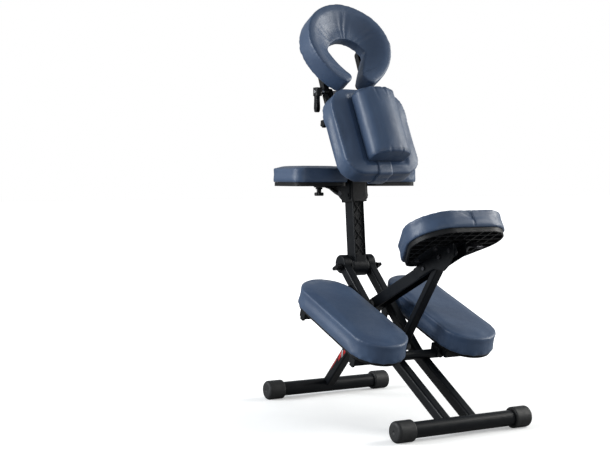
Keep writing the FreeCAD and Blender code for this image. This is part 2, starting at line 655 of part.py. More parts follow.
def plunger_spring():
    """Coil round the pin, between its flange and the housing's mouth."""
    low = COLLAR_WIDTH / 2 + 0.8
    high = COLLAR_WIDTH / 2 + 10.3
    wire = 0.45
    pitch = 1.9
    coil = Part.makeHelix(pitch, high - low, 5.7)
    section = Part.Wire(Part.makeCircle(wire, Vector(5.7, 0, 0), Y_AXIS))
    spring = Part.Wire(coil).makePipeShell([section], True, True)
    spring.Placement = Placement(Vector(low, PLUNGER[0], PLUNGER[1]), Rotation(Y_AXIS, 90))
    return put(spring, MAST)


# ---- armrest ------------------------------------------------------------------------------------------------
def armrest_bracket():
    """Hinge tongue in the collar's fork, a fin below, and a flange under the armrest's board."""
    y, z = ARMREST_HINGE
    under = ARMREST_BOTTOM - 0.1
    fin = slab_x([(y - 10, z - 10, 9), (y + 8, z - 12, 8), (y + 44, z - 2, 12), (y + 82, under - 10, 10),
                  (y + 104, under - 7, 3), (y + 104, under, 0), (y - 4, under, 3), (y - 10, z + 10, 6)], -14.2, 14.2)
    groove = slab_x([(y + 16, z - 1, 6), (y + 42, z + 6, 6), (y + 80, under - 6, 2), (y + 16, under - 6, 2)], 4, 20)
    flange = slab_z([(-62, y + 30, 10), (62, y + 30, 10), (62, y + 104, 10), (-62, y + 104, 10)], under - 5, under)
    body = fin.cut(groove).cut(mirrored(groove)).fuse(flange).removeSplitter()
    boss = Part.makeCylinder(11, 6, Vector(ARMREST_KNOB[0], ARMREST_KNOB[1], under - 11), Z_AXIS)
    hole = Part.makeCylinder(PIN_R, 30, Vector(ARMREST_KNOB[0], ARMREST_KNOB[1], under - 20), Z_AXIS)
    body = body.fuse(boss).removeSplitter().cut(hole)
    return body.cut(rod_x(PIN_R, -50, 50, ARMREST_HINGE))


def armrest_hinge_pin():
    pin = rod_x(PIN_R - FIT, -22, 22, ARMREST_HINGE)
    heads = [rod_x(8.0, -23.5, -20.1, ARMREST_HINGE), rod_x(8.0, 20.1, 23.5, ARMREST_HINGE)]
    return pin.multiFuse(heads).removeSplitter()


def armrest_outline(inset):
    """Wide armrest with round corners and a notch in its rear edge for the mast."""
    half = ARMREST_WIDTH / 2 - inset
    rear = ARMREST_REAR + inset
    front = ARMREST_FRONT - inset
    notch = ARMREST_NOTCH_HALF + inset
    deep = ARMREST_NOTCH_Y + inset
    return [(-half, rear, 35), (-notch, rear, 14), (-notch, deep, 12), (notch, deep, 12), (notch, rear, 14),
            (half, rear, 35), (half, front, 50 - inset), (-half, front, 50 - inset)]


def armrest_board():
    body = slab_z(armrest_outline(5), ARMREST_BOTTOM, ARMREST_BOTTOM + ARMREST_BOARD)
    hole = Part.makeCylinder(PIN_R, 8, Vector(ARMREST_KNOB[0], ARMREST_KNOB[1], ARMREST_BOTTOM - 1), Z_AXIS)
    return body.cut(hole)


def armrest_cushion():
    return slab_z(armrest_outline(0), ARMREST_BOTTOM + ARMREST_BOARD + 0.1, ARMREST_TOP)


def armrest_knob():
    """Clamp knob on a vertical stud under the armrest, with a broad flat foot."""
    x, y = ARMREST_KNOB
    top = ARMREST_BOTTOM - 11.2
    stem = Part.makeCylinder(7.5, 10, Vector(x, y, top - 10), Z_AXIS)
    grip = Part.makeCylinder(15.0, 11, Vector(x, y, top - 21), Z_AXIS)
    grip = grip.makeFillet(3.0, [edge for edge in grip.Edges if edge.BoundBox.ZLength < 1])
    stud = Part.makeCylinder(PIN_R - FIT, 18, Vector(x, y, top - 2), Z_AXIS)
    body = stem.multiFuse([grip, stud]).removeSplitter()
    for i in range(8):
        angle = math.radians(45 * i)
        flute = Vector(x + 17 * math.cos(angle), y + 17 * math.sin(angle), top - 22)
        body = body.cut(Part.makeCylinder(3.5, 13, flute, Z_AXIS))
    return body


# ---- chest support ------------------------------------------------------------------------------------------
PAD_BACK = CHEST_PAD + CHEST_BOARD


def chest_frame():
    """Two post sleeves joined by cross plates to the board, with ears for the chest pivot."""
    pivot = local(CHEST, CHEST_PIVOT)
    sleeves = []
    bores = []
    for x in (-POST_X, POST_X):
        sleeves.append(Part.makeCylinder(SLEEVE_R, 115, Vector(x, POST_F, 20), Z_AXIS))
        bores.append(Part.makeCylinder(POST_R + FIT, 200, Vector(x, POST_F, 0), Z_AXIS))
        sleeves.append(box((x - 8, x + 8), (PAD_BACK + 3, POST_F), (24, 131)))
    plate = slab_y([(-92, 14, 12), (92, 14, 12), (92, 134, 12), (-92, 134, 12)], PAD_BACK + 0.1, PAD_BACK + 4)
    bridge = box((-POST_X, POST_X), (POST_F - 9, POST_F + 3), (88, 112))
    ears = []
    for side in (-1, 1):
        near = side * (COLLAR_WIDTH / 2 + 5.3)
        far = side * (COLLAR_WIDTH / 2 + 11.3)
        ears.append(slab_x([(PAD_BACK + 1, 30, 3), (PAD_BACK + 1, 110, 3), (pivot[0] + 13, pivot[1] + 14, 12),
                            (pivot[0] + 13, pivot[1] - 14, 12)], min(near, far), max(near, far)))
    body = plate.multiFuse(sleeves + ears + [bridge]).removeSplitter()
    for bore in bores:
        body = body.cut(bore)
    knob_z = POST_KNOB_U
    body = body.fuse(rod_x(9.0, -POST_X - 20, -POST_X - 8, (POST_F, knob_z))).removeSplitter()
    body = body.cut(rod_x(4.0 + FIT, -POST_X - 30, -POST_X, (POST_F, knob_z)))
    body = body.cut(bores[0])
    return put(body.cut(rod_x(BOLT_R, -90, 90, pivot)), CHEST)


POST_KNOB_U = 71.5


def chest_pivot_bolts():
    """Stub bolts through the support arms, clear of the mast that passes between them."""
    pivot = CHEST_PIVOT
    inner = COLLAR_WIDTH / 2
    bolts = []
    for side in (-1, 1):
        span = (inner - 3.5, inner + (22 if side < 0 else 14))
        shank = rod_x(BOLT_R - FIT, span[0], span[1], pivot)
        head = rod_x(9.0, inner - 4, inner, pivot)
        bolt = shank.fuse(head).removeSplitter()
        if side > 0:
            bolt = bolt.fuse(hexagon_x(18, inner + 11.5, inner + 18, pivot)).removeSplitter()
        bolts.append(bolt if side > 0 else mirrored(bolt))
    return bolts


def chest_tilt_knob():
    inner = COLLAR_WIDTH / 2
    return mirrored(knob_x(inner + 11.6, inner + 30, CHEST_PIVOT, 17.0, 5, BOLT_R))


def chest_outline(inset):
    low = -CHEST_LENGTH / 2 + inset
    high = CHEST_LENGTH / 2 - inset
    wide_low = CHEST_LOW_WIDTH / 2 - inset
    wide_high = CHEST_HIGH_WIDTH / 2 - inset
    return [(-wide_low, low, CHEST_LOW_R - inset), (wide_low, low, CHEST_LOW_R - inset),
            (wide_high, high, CHEST_HIGH_R - inset), (-wide_high, high, CHEST_HIGH_R - inset)]


def chest_board():
    return put(slab_y(chest_outline(12), CHEST_PAD + 0.1, PAD_BACK), CHEST)


def chest_cushion():
    return put(slab_y(chest_outline(0), 0, CHEST_PAD), CHEST)


def sternum_bolster():
    """Loaf with upright sides, sloping shoulders and a narrow flat crown, on the chest cushion."""
    half = BOLSTER_HALF
    crown = 27.0
    section = [(BOLSTER_X - half, -0.6, 0), (BOLSTER_X - half, -36, 14), (BOLSTER_X - crown, -BOLSTER_HEIGHT, 14),
               (BOLSTER_X + crown, -BOLSTER_HEIGHT, 14), (BOLSTER_X + half, -36, 14), (BOLSTER_X + half, -0.6, 0)]
    return put(slab_z(section, BOLSTER_LOW, BOLSTER_HIGH), CHEST)


def bolster_strap():
    """Strap from under the bolster, round the lower edge of the chest cushion."""
    low = -CHEST_LENGTH / 2
    thick = 2.5
    back = PAD_BACK + 0.1
    path = [(-0.1, BOLSTER_LOW - 0.2, 0), (-thick, BOLSTER_LOW - 0.2, 0), (-thick, low - thick - 0.2, 4),
            (back + thick, low - thick - 0.2, 4), (back + thick, low + 40, 0), (back + 0.1, low + 40, 0),
            (back + 0.1, low - 0.2, 0), (-0.1, low - 0.2, 0)]
    return put(slab_x(path, -29, 21), CHEST)


# ---- head support -------------------------------------------------------------------------------------------
def head_posts():
    """Two round posts joined by a bar above the chest frame, each with a clevis plate for the clamp axle."""
    parts = []
    for x in (-POST_X, POST_X):
        parts.append(Part.makeCylinder(POST_R, CLAMP_U - 12 - 5, Vector(x, POST_F, 5), Z_AXIS))
        inner = CLEVIS_X - 10
        span = (inner, CLEVIS_X) if x > 0 else (-CLEVIS_X, -inner)
        parts.append(slab_x([(POST_F - 11, CLAMP_U - 26, 5), (POST_F + 11, CLAMP_U - 26, 5),
                             (POST_F + 11, CLAMP_U + 11, 10.9), (POST_F - 11, CLAMP_U + 11, 10.9)], span[0], span[1]))
    tie = bar_z(POST_X, 6.0, 3.0, CLAMP_U - 26, CLAMP_U - 14)
    tie.translate(Vector(0, POST_F, 0))
    body = parts[0].multiFuse(parts[1:] + [tie]).removeSplitter()
    return put(body.cut(rod_x(PIN_R, -100, 100, (POST_F, CLAMP_U))), CHEST)


def head_clamp_axle():
    """Rod through the clevis plates and the cradle's arms; the cam lever pulls on its left end."""
    axis = (POST_F, CLAMP_U)
    rod = rod_x(PIN_R - FIT, -POST_X - 36, POST_X + 14, axis)
    nut = hexagon_x(17, POST_X + 10, POST_X + 16, axis)
    sleeves = both_sides(rod_x(9.0, CRADLE_ARM_X + 9.2, POST_X + 12, axis))
    return put(rod.multiFuse([nut] + sleeves).removeSplitter(), CHEST)


def post_knob():
    low = POST_X + 20.3
    stud = rod_x(4.0, POST_X + 10.2, low + 2, (POST_F, POST_KNOB_U))
    body = knob_x(low, low + 18, (POST_F, POST_KNOB_U), 13.0, 5, 0.5).fuse(stud).removeSplitter()
    return put(mirrored(body), CHEST)


def cam_lever():
    """Cam block on the axle's left end with a handle that hangs down."""
    hub_at = Vector(-POST_X - 25, 0, 0)
    at = CHEST.multVec(Vector(0, POST_F, CLAMP_U))
    centre = Vector(hub_at.x, at.y, at.z)
    block = bar_z(11.0, 13.0, 6.0, -13, 13)
    handle = slab_x([(-9, 0, 2), (9, 0, 4), (7.5, -22, 20), (9.5, -52, 12), (6, -64, 6), (-6, -64, 6),
                     (-9.5, -52, 12), (-7.5, -22, 20)], -9, 5)
    body = block.fuse(handle).removeSplitter()
    body = body.makeFillet(2.0, [edge for edge in body.Edges if edge.BoundBox.ZMax < -50])
    body.translate(centre)
    return body.cut(rod_x(PIN_R, -POST_X - 44, -POST_X, (at.y, at.z)))


def cradle_outline(inset):
    """Horseshoe with its opening at the bottom, as a face in the local XZ plane."""
    u = CRADLE_U
    outer = CRADLE_R - inset
    tip = (53 - inset * 0.2, u - 140 + inset)
    gap = (27 + inset, u - 96)
    hole = 71 + inset

    def at(x, z):
        return Vector(x, 0, z)

    top = Part.Arc(at(-outer, u), at(0, u + outer), at(outer, u)).toShape()
    right = Part.Arc(at(outer, u), at(outer * 0.79, u - outer * 0.55), at(tip[0], tip[1])).toShape()
    left = Part.Arc(at(-tip[0], tip[1]), at(-outer * 0.79, u - outer * 0.55), at(-outer, u)).toShape()
    right_tip = Part.Arc(at(tip[0], tip[1]), at(gap[0] + 1, gap[1] - 32), at(gap[0], gap[1])).toShape()
    left_tip = Part.Arc(at(-gap[0], gap[1]), at(-gap[0] - 1, gap[1] - 32), at(-tip[0], tip[1])).toShape()
    right_in = Part.LineSegment(at(gap[0], gap[1]), at(hole, u - 12)).toShape()
    left_in = Part.LineSegment(at(-hole, u - 12), at(-gap[0], gap[1])).toShape()
    crown = Part.Arc(at(hole, u - 12), at(0, u + 36 + inset), at(-hole, u - 12)).toShape()
    return Part.Face(Part.Wire([top, right, right_tip, right_in, crown, left_in, left_tip, left]))


CRADLE_ARM_X = CLEVIS_X + 0.8 + 9  # middle of each arm


def cradle_platform():
    """Stiff horseshoe plate with two arms behind it, forked onto the clamp axle."""
    front = CRADLE_F + CRADLE_PAD + 0.2
    face = cradle_outline(13)
    face.translate(Vector(0, front, 0))
    plate = face.extrude(Vector(0, 8, 0))
    arms = []
    for x in (CRADLE_ARM_X, -CRADLE_ARM_X):
        arms.append(slab_x([(front + 6, CRADLE_U + 22, 3), (POST_F + 2, CRADLE_U + 16, 8),
                            (POST_F + 10, CLAMP_U + 20, 10), (POST_F + 10, CLAMP_U - 10, 9.9),
                            (POST_F - 10, CLAMP_U - 10, 9.9), (POST_F - 12, CLAMP_U + 18, 8),
                            (front + 6, CLAMP_U + 30, 3)], x - 9, x + 9))
    body = plate.multiFuse(arms).removeSplitter()
    return put(body.cut(rod_x(PIN_R, -100, 100, (POST_F, CLAMP_U))), CHEST)


def cradle_cushion():
    face = cradle_outline(0)
    face.translate(Vector(0, CRADLE_F, 0))
    return put(face.extrude(Vector(0, CRADLE_PAD, 0)), CHEST)


# ---- knee pads ----------------------------------------------------------------------------------------------
KNEE_FRONT_BRACKET = 139.0      # along the cushion, from its centre
KNEE_REAR_BRACKET = -157.0
KNEE_BRACKET_DEPTH = 20.0
KNEE_UNDER = -KNEE_PAD - KNEE_BOARD


def knee_outline(inset):
    """Long outline with full round ends, built on the right."""
    half_x = KNEE_WIDTH / 2 - inset
    half_y = KNEE_LENGTH / 2 - inset
    radius = half_x - 0.2
    return [(KNEE_X - half_x, -half_y, radius), (KNEE_X + half_x, -half_y, radius),
            (KNEE_X + half_x, half_y, radius), (KNEE_X - half_x, half_y, radius)]


def knee_cushion():
    return put(slab_z(knee_outline(0), -KNEE_PAD, 0), KNEE)


def knee_board():
    return put(slab_z(knee_outline(6), KNEE_UNDER, -KNEE_PAD - 0.1), KNEE)


def knee_brackets():
    """Two cross channels with turned-down outer lips, and a saddle on the crossbar, in one welded piece."""
    x_in = KNEE_X - KNEE_WIDTH / 2 + 8
    x_out = KNEE_X + KNEE_WIDTH / 2 - 6
    low = KNEE_UNDER - KNEE_BRACKET_DEPTH
    parts = []
    for middle in (KNEE_FRONT_BRACKET, KNEE_REAR_BRACKET):
        channel = box((x_in, x_out), (middle - 14, middle + 14), (low, KNEE_UNDER - 0.1))
        hollow = box((x_in + 3, x_out - 3), (middle - 11, middle + 11), (low - 1, KNEE_UNDER - 3.1))
        lip = box((x_out - 8, x_out), (middle - 8, middle + 8), (low - 7, low + 2))
        parts.append(channel.cut(hollow).fuse(lip))
    spine = box((KNEE_X - 15, KNEE_X + 15), (KNEE_REAR_BRACKET, KNEE_FRONT_BRACKET), (KNEE_UNDER - 6, KNEE_UNDER - 0.1))
    bar = local(KNEE, CROSSBAR)
    saddle = slab_x([(bar[0] - 16.5, bar[1] - 6, 2), (bar[0] + 16.5, bar[1] - 6, 2), (bar[0] + 20, KNEE_UNDER - 0.1, 0),
                     (bar[0] - 20, KNEE_UNDER - 0.1, 0)], RAIL_OUT + 8, CROSSBAR_HALF - 2)
    foot = box((RAIL_OUT + 8, KNEE_X + 15), (bar[0] - 20, bar[0] + 20), (KNEE_UNDER - 6, KNEE_UNDER - 0.1))
    body = parts[0].multiFuse([parts[1], spine, saddle, foot]).removeSplitter()
    body = put(body, KNEE)
    return body.cut(rod_x(CROSSBAR_R + FIT, 0, 120, CROSSBAR))


# ---- all nodes ----------------------------------------------------------------------------------------------
def nodes():
    right_rail = rail()
    right_cushion = knee_cushion()
    right_board = knee_board()
    right_brackets = knee_brackets()
    return {
        "rear_foot_tube": foot_tube(-FOOT_Y),
        "rear_foot_caps": foot_caps(-FOOT_Y),
        "front_foot_tube": foot_tube(FOOT_Y),
        "front_foot_caps": foot_caps(FOOT_Y),
        "rail_right": right_rail,
        "rail_left": mirrored(right_rail),
        "knee_crossbar": knee_crossbar(),
        "crossbar_end_caps": crossbar_end_caps(),
        "pivot_bolt": cross_bolt(BOLT_R, PIVOT),
        "strut_bolt": cross_bolt(PIN_R, STRUT_FOOT),
        "frame_lock_nuts": frame_lock_nuts(),
        "frame_spacers": frame_spacers(),
        "hub_axle": hub_axle(),
        "hub_friction_discs": hub_friction_discs(),
        "knee_front_rests": knee_front_rests(),
        "front_leg": front_leg(),
        "seat_arm": seat_arm(),
        "seat_side_plates": seat_side_plates(),
        "side_plate_bolts": side_plate_bolts(),
        "seat_mount_plate": seat_mount_plate(),
        "seat_bolts": seat_bolts(),
        "seat_base": seat_base(),
        "seat_cushion": seat_cushion(),
        "seat_lever": seat_lever(),
        "seat_strut": seat_strut(),
        "strut_roller": strut_roller(),
        "mast": mast(),
        "mast_lattice": mast_lattice(),
        "mast_bushes": mast_bushes(),
        "hub_knob_left": hub_knob(-1),
        "hub_knob_right": hub_knob(1),
        "collar": collar(),
        "collar_glides": collar_glides(),
        "chest_support_arms": chest_support_arms(),
        "chest_pivot_bolts": chest_pivot_bolts(),
        "height_plunger": height_plunger(),
        "plunger_spring": plunger_spring(),
        "armrest_hinge_pin": armrest_hinge_pin(),
        "armrest_bracket": armrest_bracket(),
        "armrest_board": armrest_board(),
        "armrest_cushion": armrest_cushion(),
        "armrest_knob": armrest_knob(),
        "chest_frame": chest_frame(),
        "chest_board": chest_board(),
        "chest_cushion": chest_cushion(),
        "sternum_bolster": sternum_bolster(),
        "bolster_strap": bolster_strap(),
        "chest_tilt_knob": chest_tilt_knob(),
        "post_knob": post_knob(),
        "head_posts": head_posts(),
        "head_clamp_axle": head_clamp_axle(),
        "cam_lever": cam_lever(),
        "cradle_platform": cradle_platform(),
        "cradle_cushion": cradle_cushion(),
        "knee_cushion_right": right_cushion,
        "knee_cushion_left": mirrored(right_cushion),
        "knee_board_right": right_board,
        "knee_board_left": mirrored(right_board),
        "knee_brackets_right": right_brackets,
        "knee_brackets_left": mirrored(right_brackets),
    }


def write_all():
    os.makedirs("parts", exist_ok=True)
    for name, shape in nodes().items():
        pieces = shape if isinstance(shape, list) else [shape]
        solids = [solid for piece in pieces for solid in piece.Solids]
        whole = solids[0] if len(solids) == 1 else Part.makeCompound(solids)
        whole.translate(Vector(0, ORIGIN_SHIFT, 0))
        whole.exportStep("parts/" + name + ".step")


write_all()
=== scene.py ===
import json
import math

import bmesh
import bpy
import numpy as np
from mathutils import Matrix, Vector
from mathutils.bvhtree import BVHTree
from mathutils.kdtree import KDTree

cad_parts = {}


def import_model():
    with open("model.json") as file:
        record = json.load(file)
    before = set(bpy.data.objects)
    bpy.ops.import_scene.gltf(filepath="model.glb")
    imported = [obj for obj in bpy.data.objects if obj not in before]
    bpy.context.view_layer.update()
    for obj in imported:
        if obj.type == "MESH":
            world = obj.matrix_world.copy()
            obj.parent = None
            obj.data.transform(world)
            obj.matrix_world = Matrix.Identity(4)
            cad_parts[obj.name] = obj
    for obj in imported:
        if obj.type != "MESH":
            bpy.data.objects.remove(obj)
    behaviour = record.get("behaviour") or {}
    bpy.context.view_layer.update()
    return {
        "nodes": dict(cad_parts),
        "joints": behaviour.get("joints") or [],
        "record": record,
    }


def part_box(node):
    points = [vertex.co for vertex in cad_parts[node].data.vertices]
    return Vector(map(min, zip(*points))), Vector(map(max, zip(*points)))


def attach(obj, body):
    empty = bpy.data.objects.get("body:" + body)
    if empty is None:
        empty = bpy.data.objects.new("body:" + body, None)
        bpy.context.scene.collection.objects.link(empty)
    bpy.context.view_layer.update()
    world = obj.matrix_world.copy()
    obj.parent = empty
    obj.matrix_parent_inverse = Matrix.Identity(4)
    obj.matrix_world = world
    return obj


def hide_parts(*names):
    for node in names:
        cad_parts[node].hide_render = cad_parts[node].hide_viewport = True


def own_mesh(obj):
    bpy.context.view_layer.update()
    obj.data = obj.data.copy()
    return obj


# Looks for the kneeling massage chair: upholstery, finishes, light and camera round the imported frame.
# Lengths are in metres. A pad's own axes are x across the chair, y along the pad and z out of its board.

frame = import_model()

# ---- driving numbers -----------------------------------------------------------------------------
VOXEL = 0.0048                  # mesh size of a pad, before its one subdivision
SOFTEN_ROUNDS = 3
REST_SHARE = 0.16               # lowest part of a pad's thickness, which stays pinned to its board
REST_GAP = 0.0002               # how far a cover stays clear of the board under it

CLOTH_FRAMES = 20
PRESSURE = 4.0
SWELL_CAP = 0.005               # furthest that a cover swells
SPREAD_ROUNDS = 10
RIM_HOLD = 0.022                # how far in a pad's firm rim holds the swelling back
RIM_SWELL = 0.25                # share of the swelling that is left on the rim itself

SEAM_RADIUS = 0.0009
STITCH_LENGTH = 0.0032
STITCH_GAP = 0.0018
THREAD_RADIUS = 0.00045
BESIDE_SEAM = 0.004             # from a seam to the row of stitches beside it

SEAT_TILT = -24.6               # turn about X from a pad's own axes to the chair's, in degrees
KNEE_TILT = 20.0
CHEST_TILT = 63.1
LEG_TILT = 45.3

SEAT_SEAM_X = 0.002             # the seat cover's join at the rear
ARMREST_SEAM_X = 0.050          # the armrest cover's two joins at the rear
BOLSTER_X, BOLSTER_Y = 0.006, 0.004  # middle of the bolster's footprint on the chest pad
UPWARD = (0.0, 0.0, 1.0)        # out of a pad's face, in its own axes
FACE = (0, 1)                   # the two of a pad's own axes that a line on its face is drawn in
REAR_WALL = (0, 2)              # and on its rear wall

CAMERA_AT = (-1.9916, -2.9537, 0.7061)
CAMERA_TURN = (87.71, 0.0, -29.83)
CAMERA_LENS = 70.29


# ---- mesh helpers --------------------------------------------------------------------------------
def coords(mesh):
    flat = np.empty(len(mesh.vertices) * 3, np.float32)
    mesh.vertices.foreach_get("co", flat)
    return flat.reshape(-1, 3).astype(float)


def set_coords(mesh, points):
    mesh.vertices.foreach_set("co", points.astype(np.float32).ravel())
    mesh.update()


def link(obj):
    bpy.context.scene.collection.objects.link(obj)
    return obj


def bake(obj):
    """Applies every modifier of an object to its mesh."""
    graph = bpy.context.evaluated_depsgraph_get()
    mesh = bpy.data.meshes.new_from_object(obj.evaluated_get(graph))
    obj.modifiers.clear()
    obj.data = mesh


def smooth_step(low, high, values):
    t = np.clip((values - low) / (high - low), 0.0, 1.0)
    return t * t * (3 - 2 * t)


def bell(values, width):
    return np.exp(-(values / width) ** 2)


def new_piece(name, vertices, faces, material, body):
    """A mesh object made of chair coordinates that rides on one body."""
    mesh = bpy.data.meshes.new(name)
    mesh.from_pydata([tuple(v) for v in vertices], [], faces)
    mesh.validate()
    mesh.shade_smooth()
    mesh.materials.append(material)
    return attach(link(bpy.data.objects.new(name, mesh)), body)


# ---- shader helpers ------------------------------------------------------------------------------
class Shader:
    """A node material that is put together a node at a time."""

    def __init__(self, name):
        self.material = bpy.data.materials.new(name)
        self.material.use_nodes = True
        self.tree = self.material.node_tree
        self.tree.nodes.clear()
        self.output = self.tree.nodes.new("ShaderNodeOutputMaterial")
        self.surface = self.tree.nodes.new("ShaderNodeBsdfPrincipled")
        self.join(self.surface.outputs["BSDF"], self.output.inputs["Surface"])
        self.where = self.tree.nodes.new("ShaderNodeTexCoord").outputs["Object"]

    def join(self, source, target):
        self.tree.links.new(source, target)

    def stretched(self, scale):
        """Object coordinates with a different scale on each axis."""
        mapping = self.tree.nodes.new("ShaderNodeMapping")
        mapping.inputs["Scale"].default_value = scale
        self.join(self.where, mapping.inputs["Vector"])
        return mapping.outputs["Vector"]

    def noise(self, scale, detail=2.0, where=None):
        node = self.tree.nodes.new("ShaderNodeTexNoise")
        node.inputs["Scale"].default_value = scale
        node.inputs["Detail"].default_value = detail
        self.join(where or self.where, node.inputs["Vector"])
        return node.outputs["Fac"]

    def cells(self, scale):
        node = self.tree.nodes.new("ShaderNodeTexVoronoi")
        node.inputs["Scale"].default_value = scale
        self.join(self.where, node.inputs["Vector"])
        return node.outputs["Distance"]

    def ramp(self, value, low, high, out_low=0.0, out_high=1.0):
        node = self.tree.nodes.new("ShaderNodeMapRange")
        self.join(value, node.inputs["Value"])
        node.inputs["From Min"].default_value = low
        node.inputs["From Max"].default_value = high
        node.inputs["To Min"].default_value = out_low
        node.inputs["To Max"].default_value = out_high
        return node.outputs["Result"]

    def patches(self, scale, detail, low, high, strength=1.0):
        """Cloudy patches: 0 where the noise is below low, rising to strength where it is above high."""
        return self.ramp(self.noise(scale, detail), low, high, 0.0, strength)

    def uneven(self, scale, detail, least, most):
        """A value that drifts from least to most over the surface."""
        return self.ramp(self.noise(scale, detail), 0.3, 0.7, least, most)

    def mix(self, factor, first, second):
        """Blend of two colours, each a tuple or a socket."""
        node = self.tree.nodes.new("ShaderNodeMix")
        node.data_type = "RGBA"
        self.join(factor, node.inputs["Factor"])
        for value, socket in ((first, node.inputs[6]), (second, node.inputs[7])):
            if isinstance(value, tuple):
                socket.default_value = (*value, 1.0)
            else:
                self.join(value, socket)
        return node.outputs[2]

    def worn_edges(self, radius, strength):
        """1 on convex edges and 0 on flats, from how far the rounded normal leans from the true one."""
        bevel = self.tree.nodes.new("ShaderNodeBevel")
        bevel.samples = 4
        bevel.inputs["Radius"].default_value = radius
        geometry = self.tree.nodes.new("ShaderNodeNewGeometry")
        dot = self.tree.nodes.new("ShaderNodeVectorMath")
        dot.operation = "DOT_PRODUCT"
        self.join(bevel.outputs["Normal"], dot.inputs[0])
        self.join(geometry.outputs["Normal"], dot.inputs[1])
        return bevel.outputs["Normal"], self.ramp(dot.outputs["Value"], 1.0, 0.75, 0.0, strength)

    def bump(self, height, distance, normal=None):
        node = self.tree.nodes.new("ShaderNodeBump")
        node.inputs["Distance"].default_value = distance
        self.join(height, node.inputs["Height"])
        if normal is not None:
            self.join(normal, node.inputs["Normal"])
        return node.outputs["Normal"]

    def finish(self, colour, roughness, normal, **fixed):
        self.join(colour, self.surface.inputs["Base Color"])
        self.join(roughness, self.surface.inputs["Roughness"])
        self.join(normal, self.surface.inputs["Normal"])
        for name, value in fixed.items():
            self.surface.inputs[name.replace("_", " ")].default_value = value
        return self.material


def vinyl(name, deep, pale):
    """Upholstery vinyl: pressed grain, slow shade drift, soft foam undulation, and paler edges that are
    partly wear and partly a painted highlight.
    """
    shader = Shader(name)
    base = shader.mix(shader.patches(9.0, 4.0, 0.35, 0.65), deep, pale)
    geometry = shader.tree.nodes.new("ShaderNodeNewGeometry")
    # convex edges painted paler: partly wear, partly a painted highlight along the pads' edges
    pale_edges = shader.ramp(geometry.outputs["Pointiness"], 0.52, 0.60, 0.0, 0.35)
    colour = shader.mix(pale_edges, base, tuple(min(1.0, 1.5 * c + 0.03) for c in pale))
    grain = shader.cells(750.0)
    undulation = shader.bump(shader.noise(24.0, 2.0), 0.0006)
    normal = shader.bump(grain, 0.00016, undulation)
    roughness = shader.uneven(60.0, 3.0, 0.40, 0.52)
    return shader.finish(colour, roughness, normal, Sheen_Weight=0.04, Sheen_Roughness=0.5,
                         Coat_Weight=0.10, Coat_Roughness=0.32)


def powder_coat(name, colour, pale_edges, roughness):
    """Satin powder coat: orange peel, dusty patches and edges worn towards the metal."""
    shader = Shader(name)
    rounded, edge = shader.worn_edges(0.0012, 0.4)
    dusty = shader.patches(14.0, 5.0, 0.45, 0.75, 0.3)
    base = shader.mix(dusty, colour, tuple(1.6 * c + 0.003 for c in colour))
    worn = shader.mix(edge, base, pale_edges)
    normal = shader.bump(shader.noise(520.0, 2.0), 0.00012, rounded)
    rough = shader.uneven(30.0, 4.0, roughness - 0.06, roughness + 0.08)
    return shader.finish(worn, rough, normal, Specular_IOR_Level=0.20)


def moulded_plastic(name, colour, roughness, grain):
    """Moulded plastic with an eroded texture and slightly shiny, worn edges."""
    shader = Shader(name)
    rounded, edge = shader.worn_edges(0.0010, 0.25)
    cloudy = shader.patches(22.0, 4.0, 0.35, 0.7)
    base = shader.mix(cloudy, colour, tuple(1.5 * c + 0.004 for c in colour))
    worn = shader.mix(edge, base, tuple(2.2 * c + 0.010 for c in colour))
    normal = shader.bump(shader.cells(grain), 0.00018, rounded)
    rough = shader.uneven(45.0, 3.0, roughness - 0.07, roughness + 0.07)
    return shader.finish(worn, rough, normal, Specular_IOR_Level=0.22)


def rubber(name):
    """Matt moulded rubber with fine pits and pale floor dust."""
    shader = Shader(name)
    rounded, edge = shader.worn_edges(0.0015, 0.3)
    dust = shader.patches(70.0, 6.0, 0.5, 0.8, 0.5)
    base = shader.mix(dust, (0.0060, 0.0065, 0.0075), (0.018, 0.019, 0.021))
    worn = shader.mix(edge, base, (0.030, 0.031, 0.033))
    normal = shader.bump(shader.noise(900.0, 2.0), 0.00025, rounded)
    rough = shader.uneven(50.0, 3.0, 0.48, 0.68)
    return shader.finish(worn, rough, normal)


def brushed_metal(name, colour, roughness):
    """Metal with brush lines across the chair and a few darker smudges."""
    shader = Shader(name)
    rounded, edge = shader.worn_edges(0.0006, 0.5)
    lines = shader.noise(1.0, 3.0, shader.stretched((40.0, 1800.0, 1800.0)))
    smudge = shader.patches(90.0, 4.0, 0.45, 0.75, 0.5)
    base = shader.mix(smudge, colour, tuple(0.55 * c for c in colour))
    worn = shader.mix(edge, base, tuple(min(1.0, 1.4 * c + 0.05) for c in colour))
    normal = shader.bump(lines, 0.00006, rounded)
    rough = shader.ramp(lines, 0.3, 0.7, roughness - 0.06, roughness + 0.1)
    return shader.finish(worn, rough, normal, Metallic=1.0)


def thread(name, colour):
    """Twisted sewing thread."""
    shader = Shader(name)
    twist = shader.noise(1.0, 2.0, shader.stretched((2500.0, 900.0, 2500.0)))
    tone = shader.mix(twist, colour, tuple(0.6 * c for c in colour))
    normal = shader.bump(twist, 0.0002)
    rough = shader.ramp(twist, 0.3, 0.7, 0.55, 0.8)
    return shader.finish(tone, rough, normal, Sheen_Weight=0.05)


def webbing(name, deep, pale):
    """Vinyl-faced strap with a faint cross weave pressed into it."""
    shader = Shader(name)
    weave = shader.tree.nodes.new("ShaderNodeTexWave")
    weave.inputs["Scale"].default_value = 260.0
    weave.inputs["Distortion"].default_value = 0.6
    shader.join(shader.where, weave.inputs["Vector"])
    colour = shader.mix(shader.patches(40.0, 4.0, 0.35, 0.65), deep, pale)
    normal = shader.bump(weave.outputs["Fac"], 0.00012, shader.bump(shader.noise(60.0), 0.0006))
    rough = shader.uneven(80.0, 3.0, 0.42, 0.56)
    return shader.finish(colour, rough, normal, Sheen_Weight=0.15)


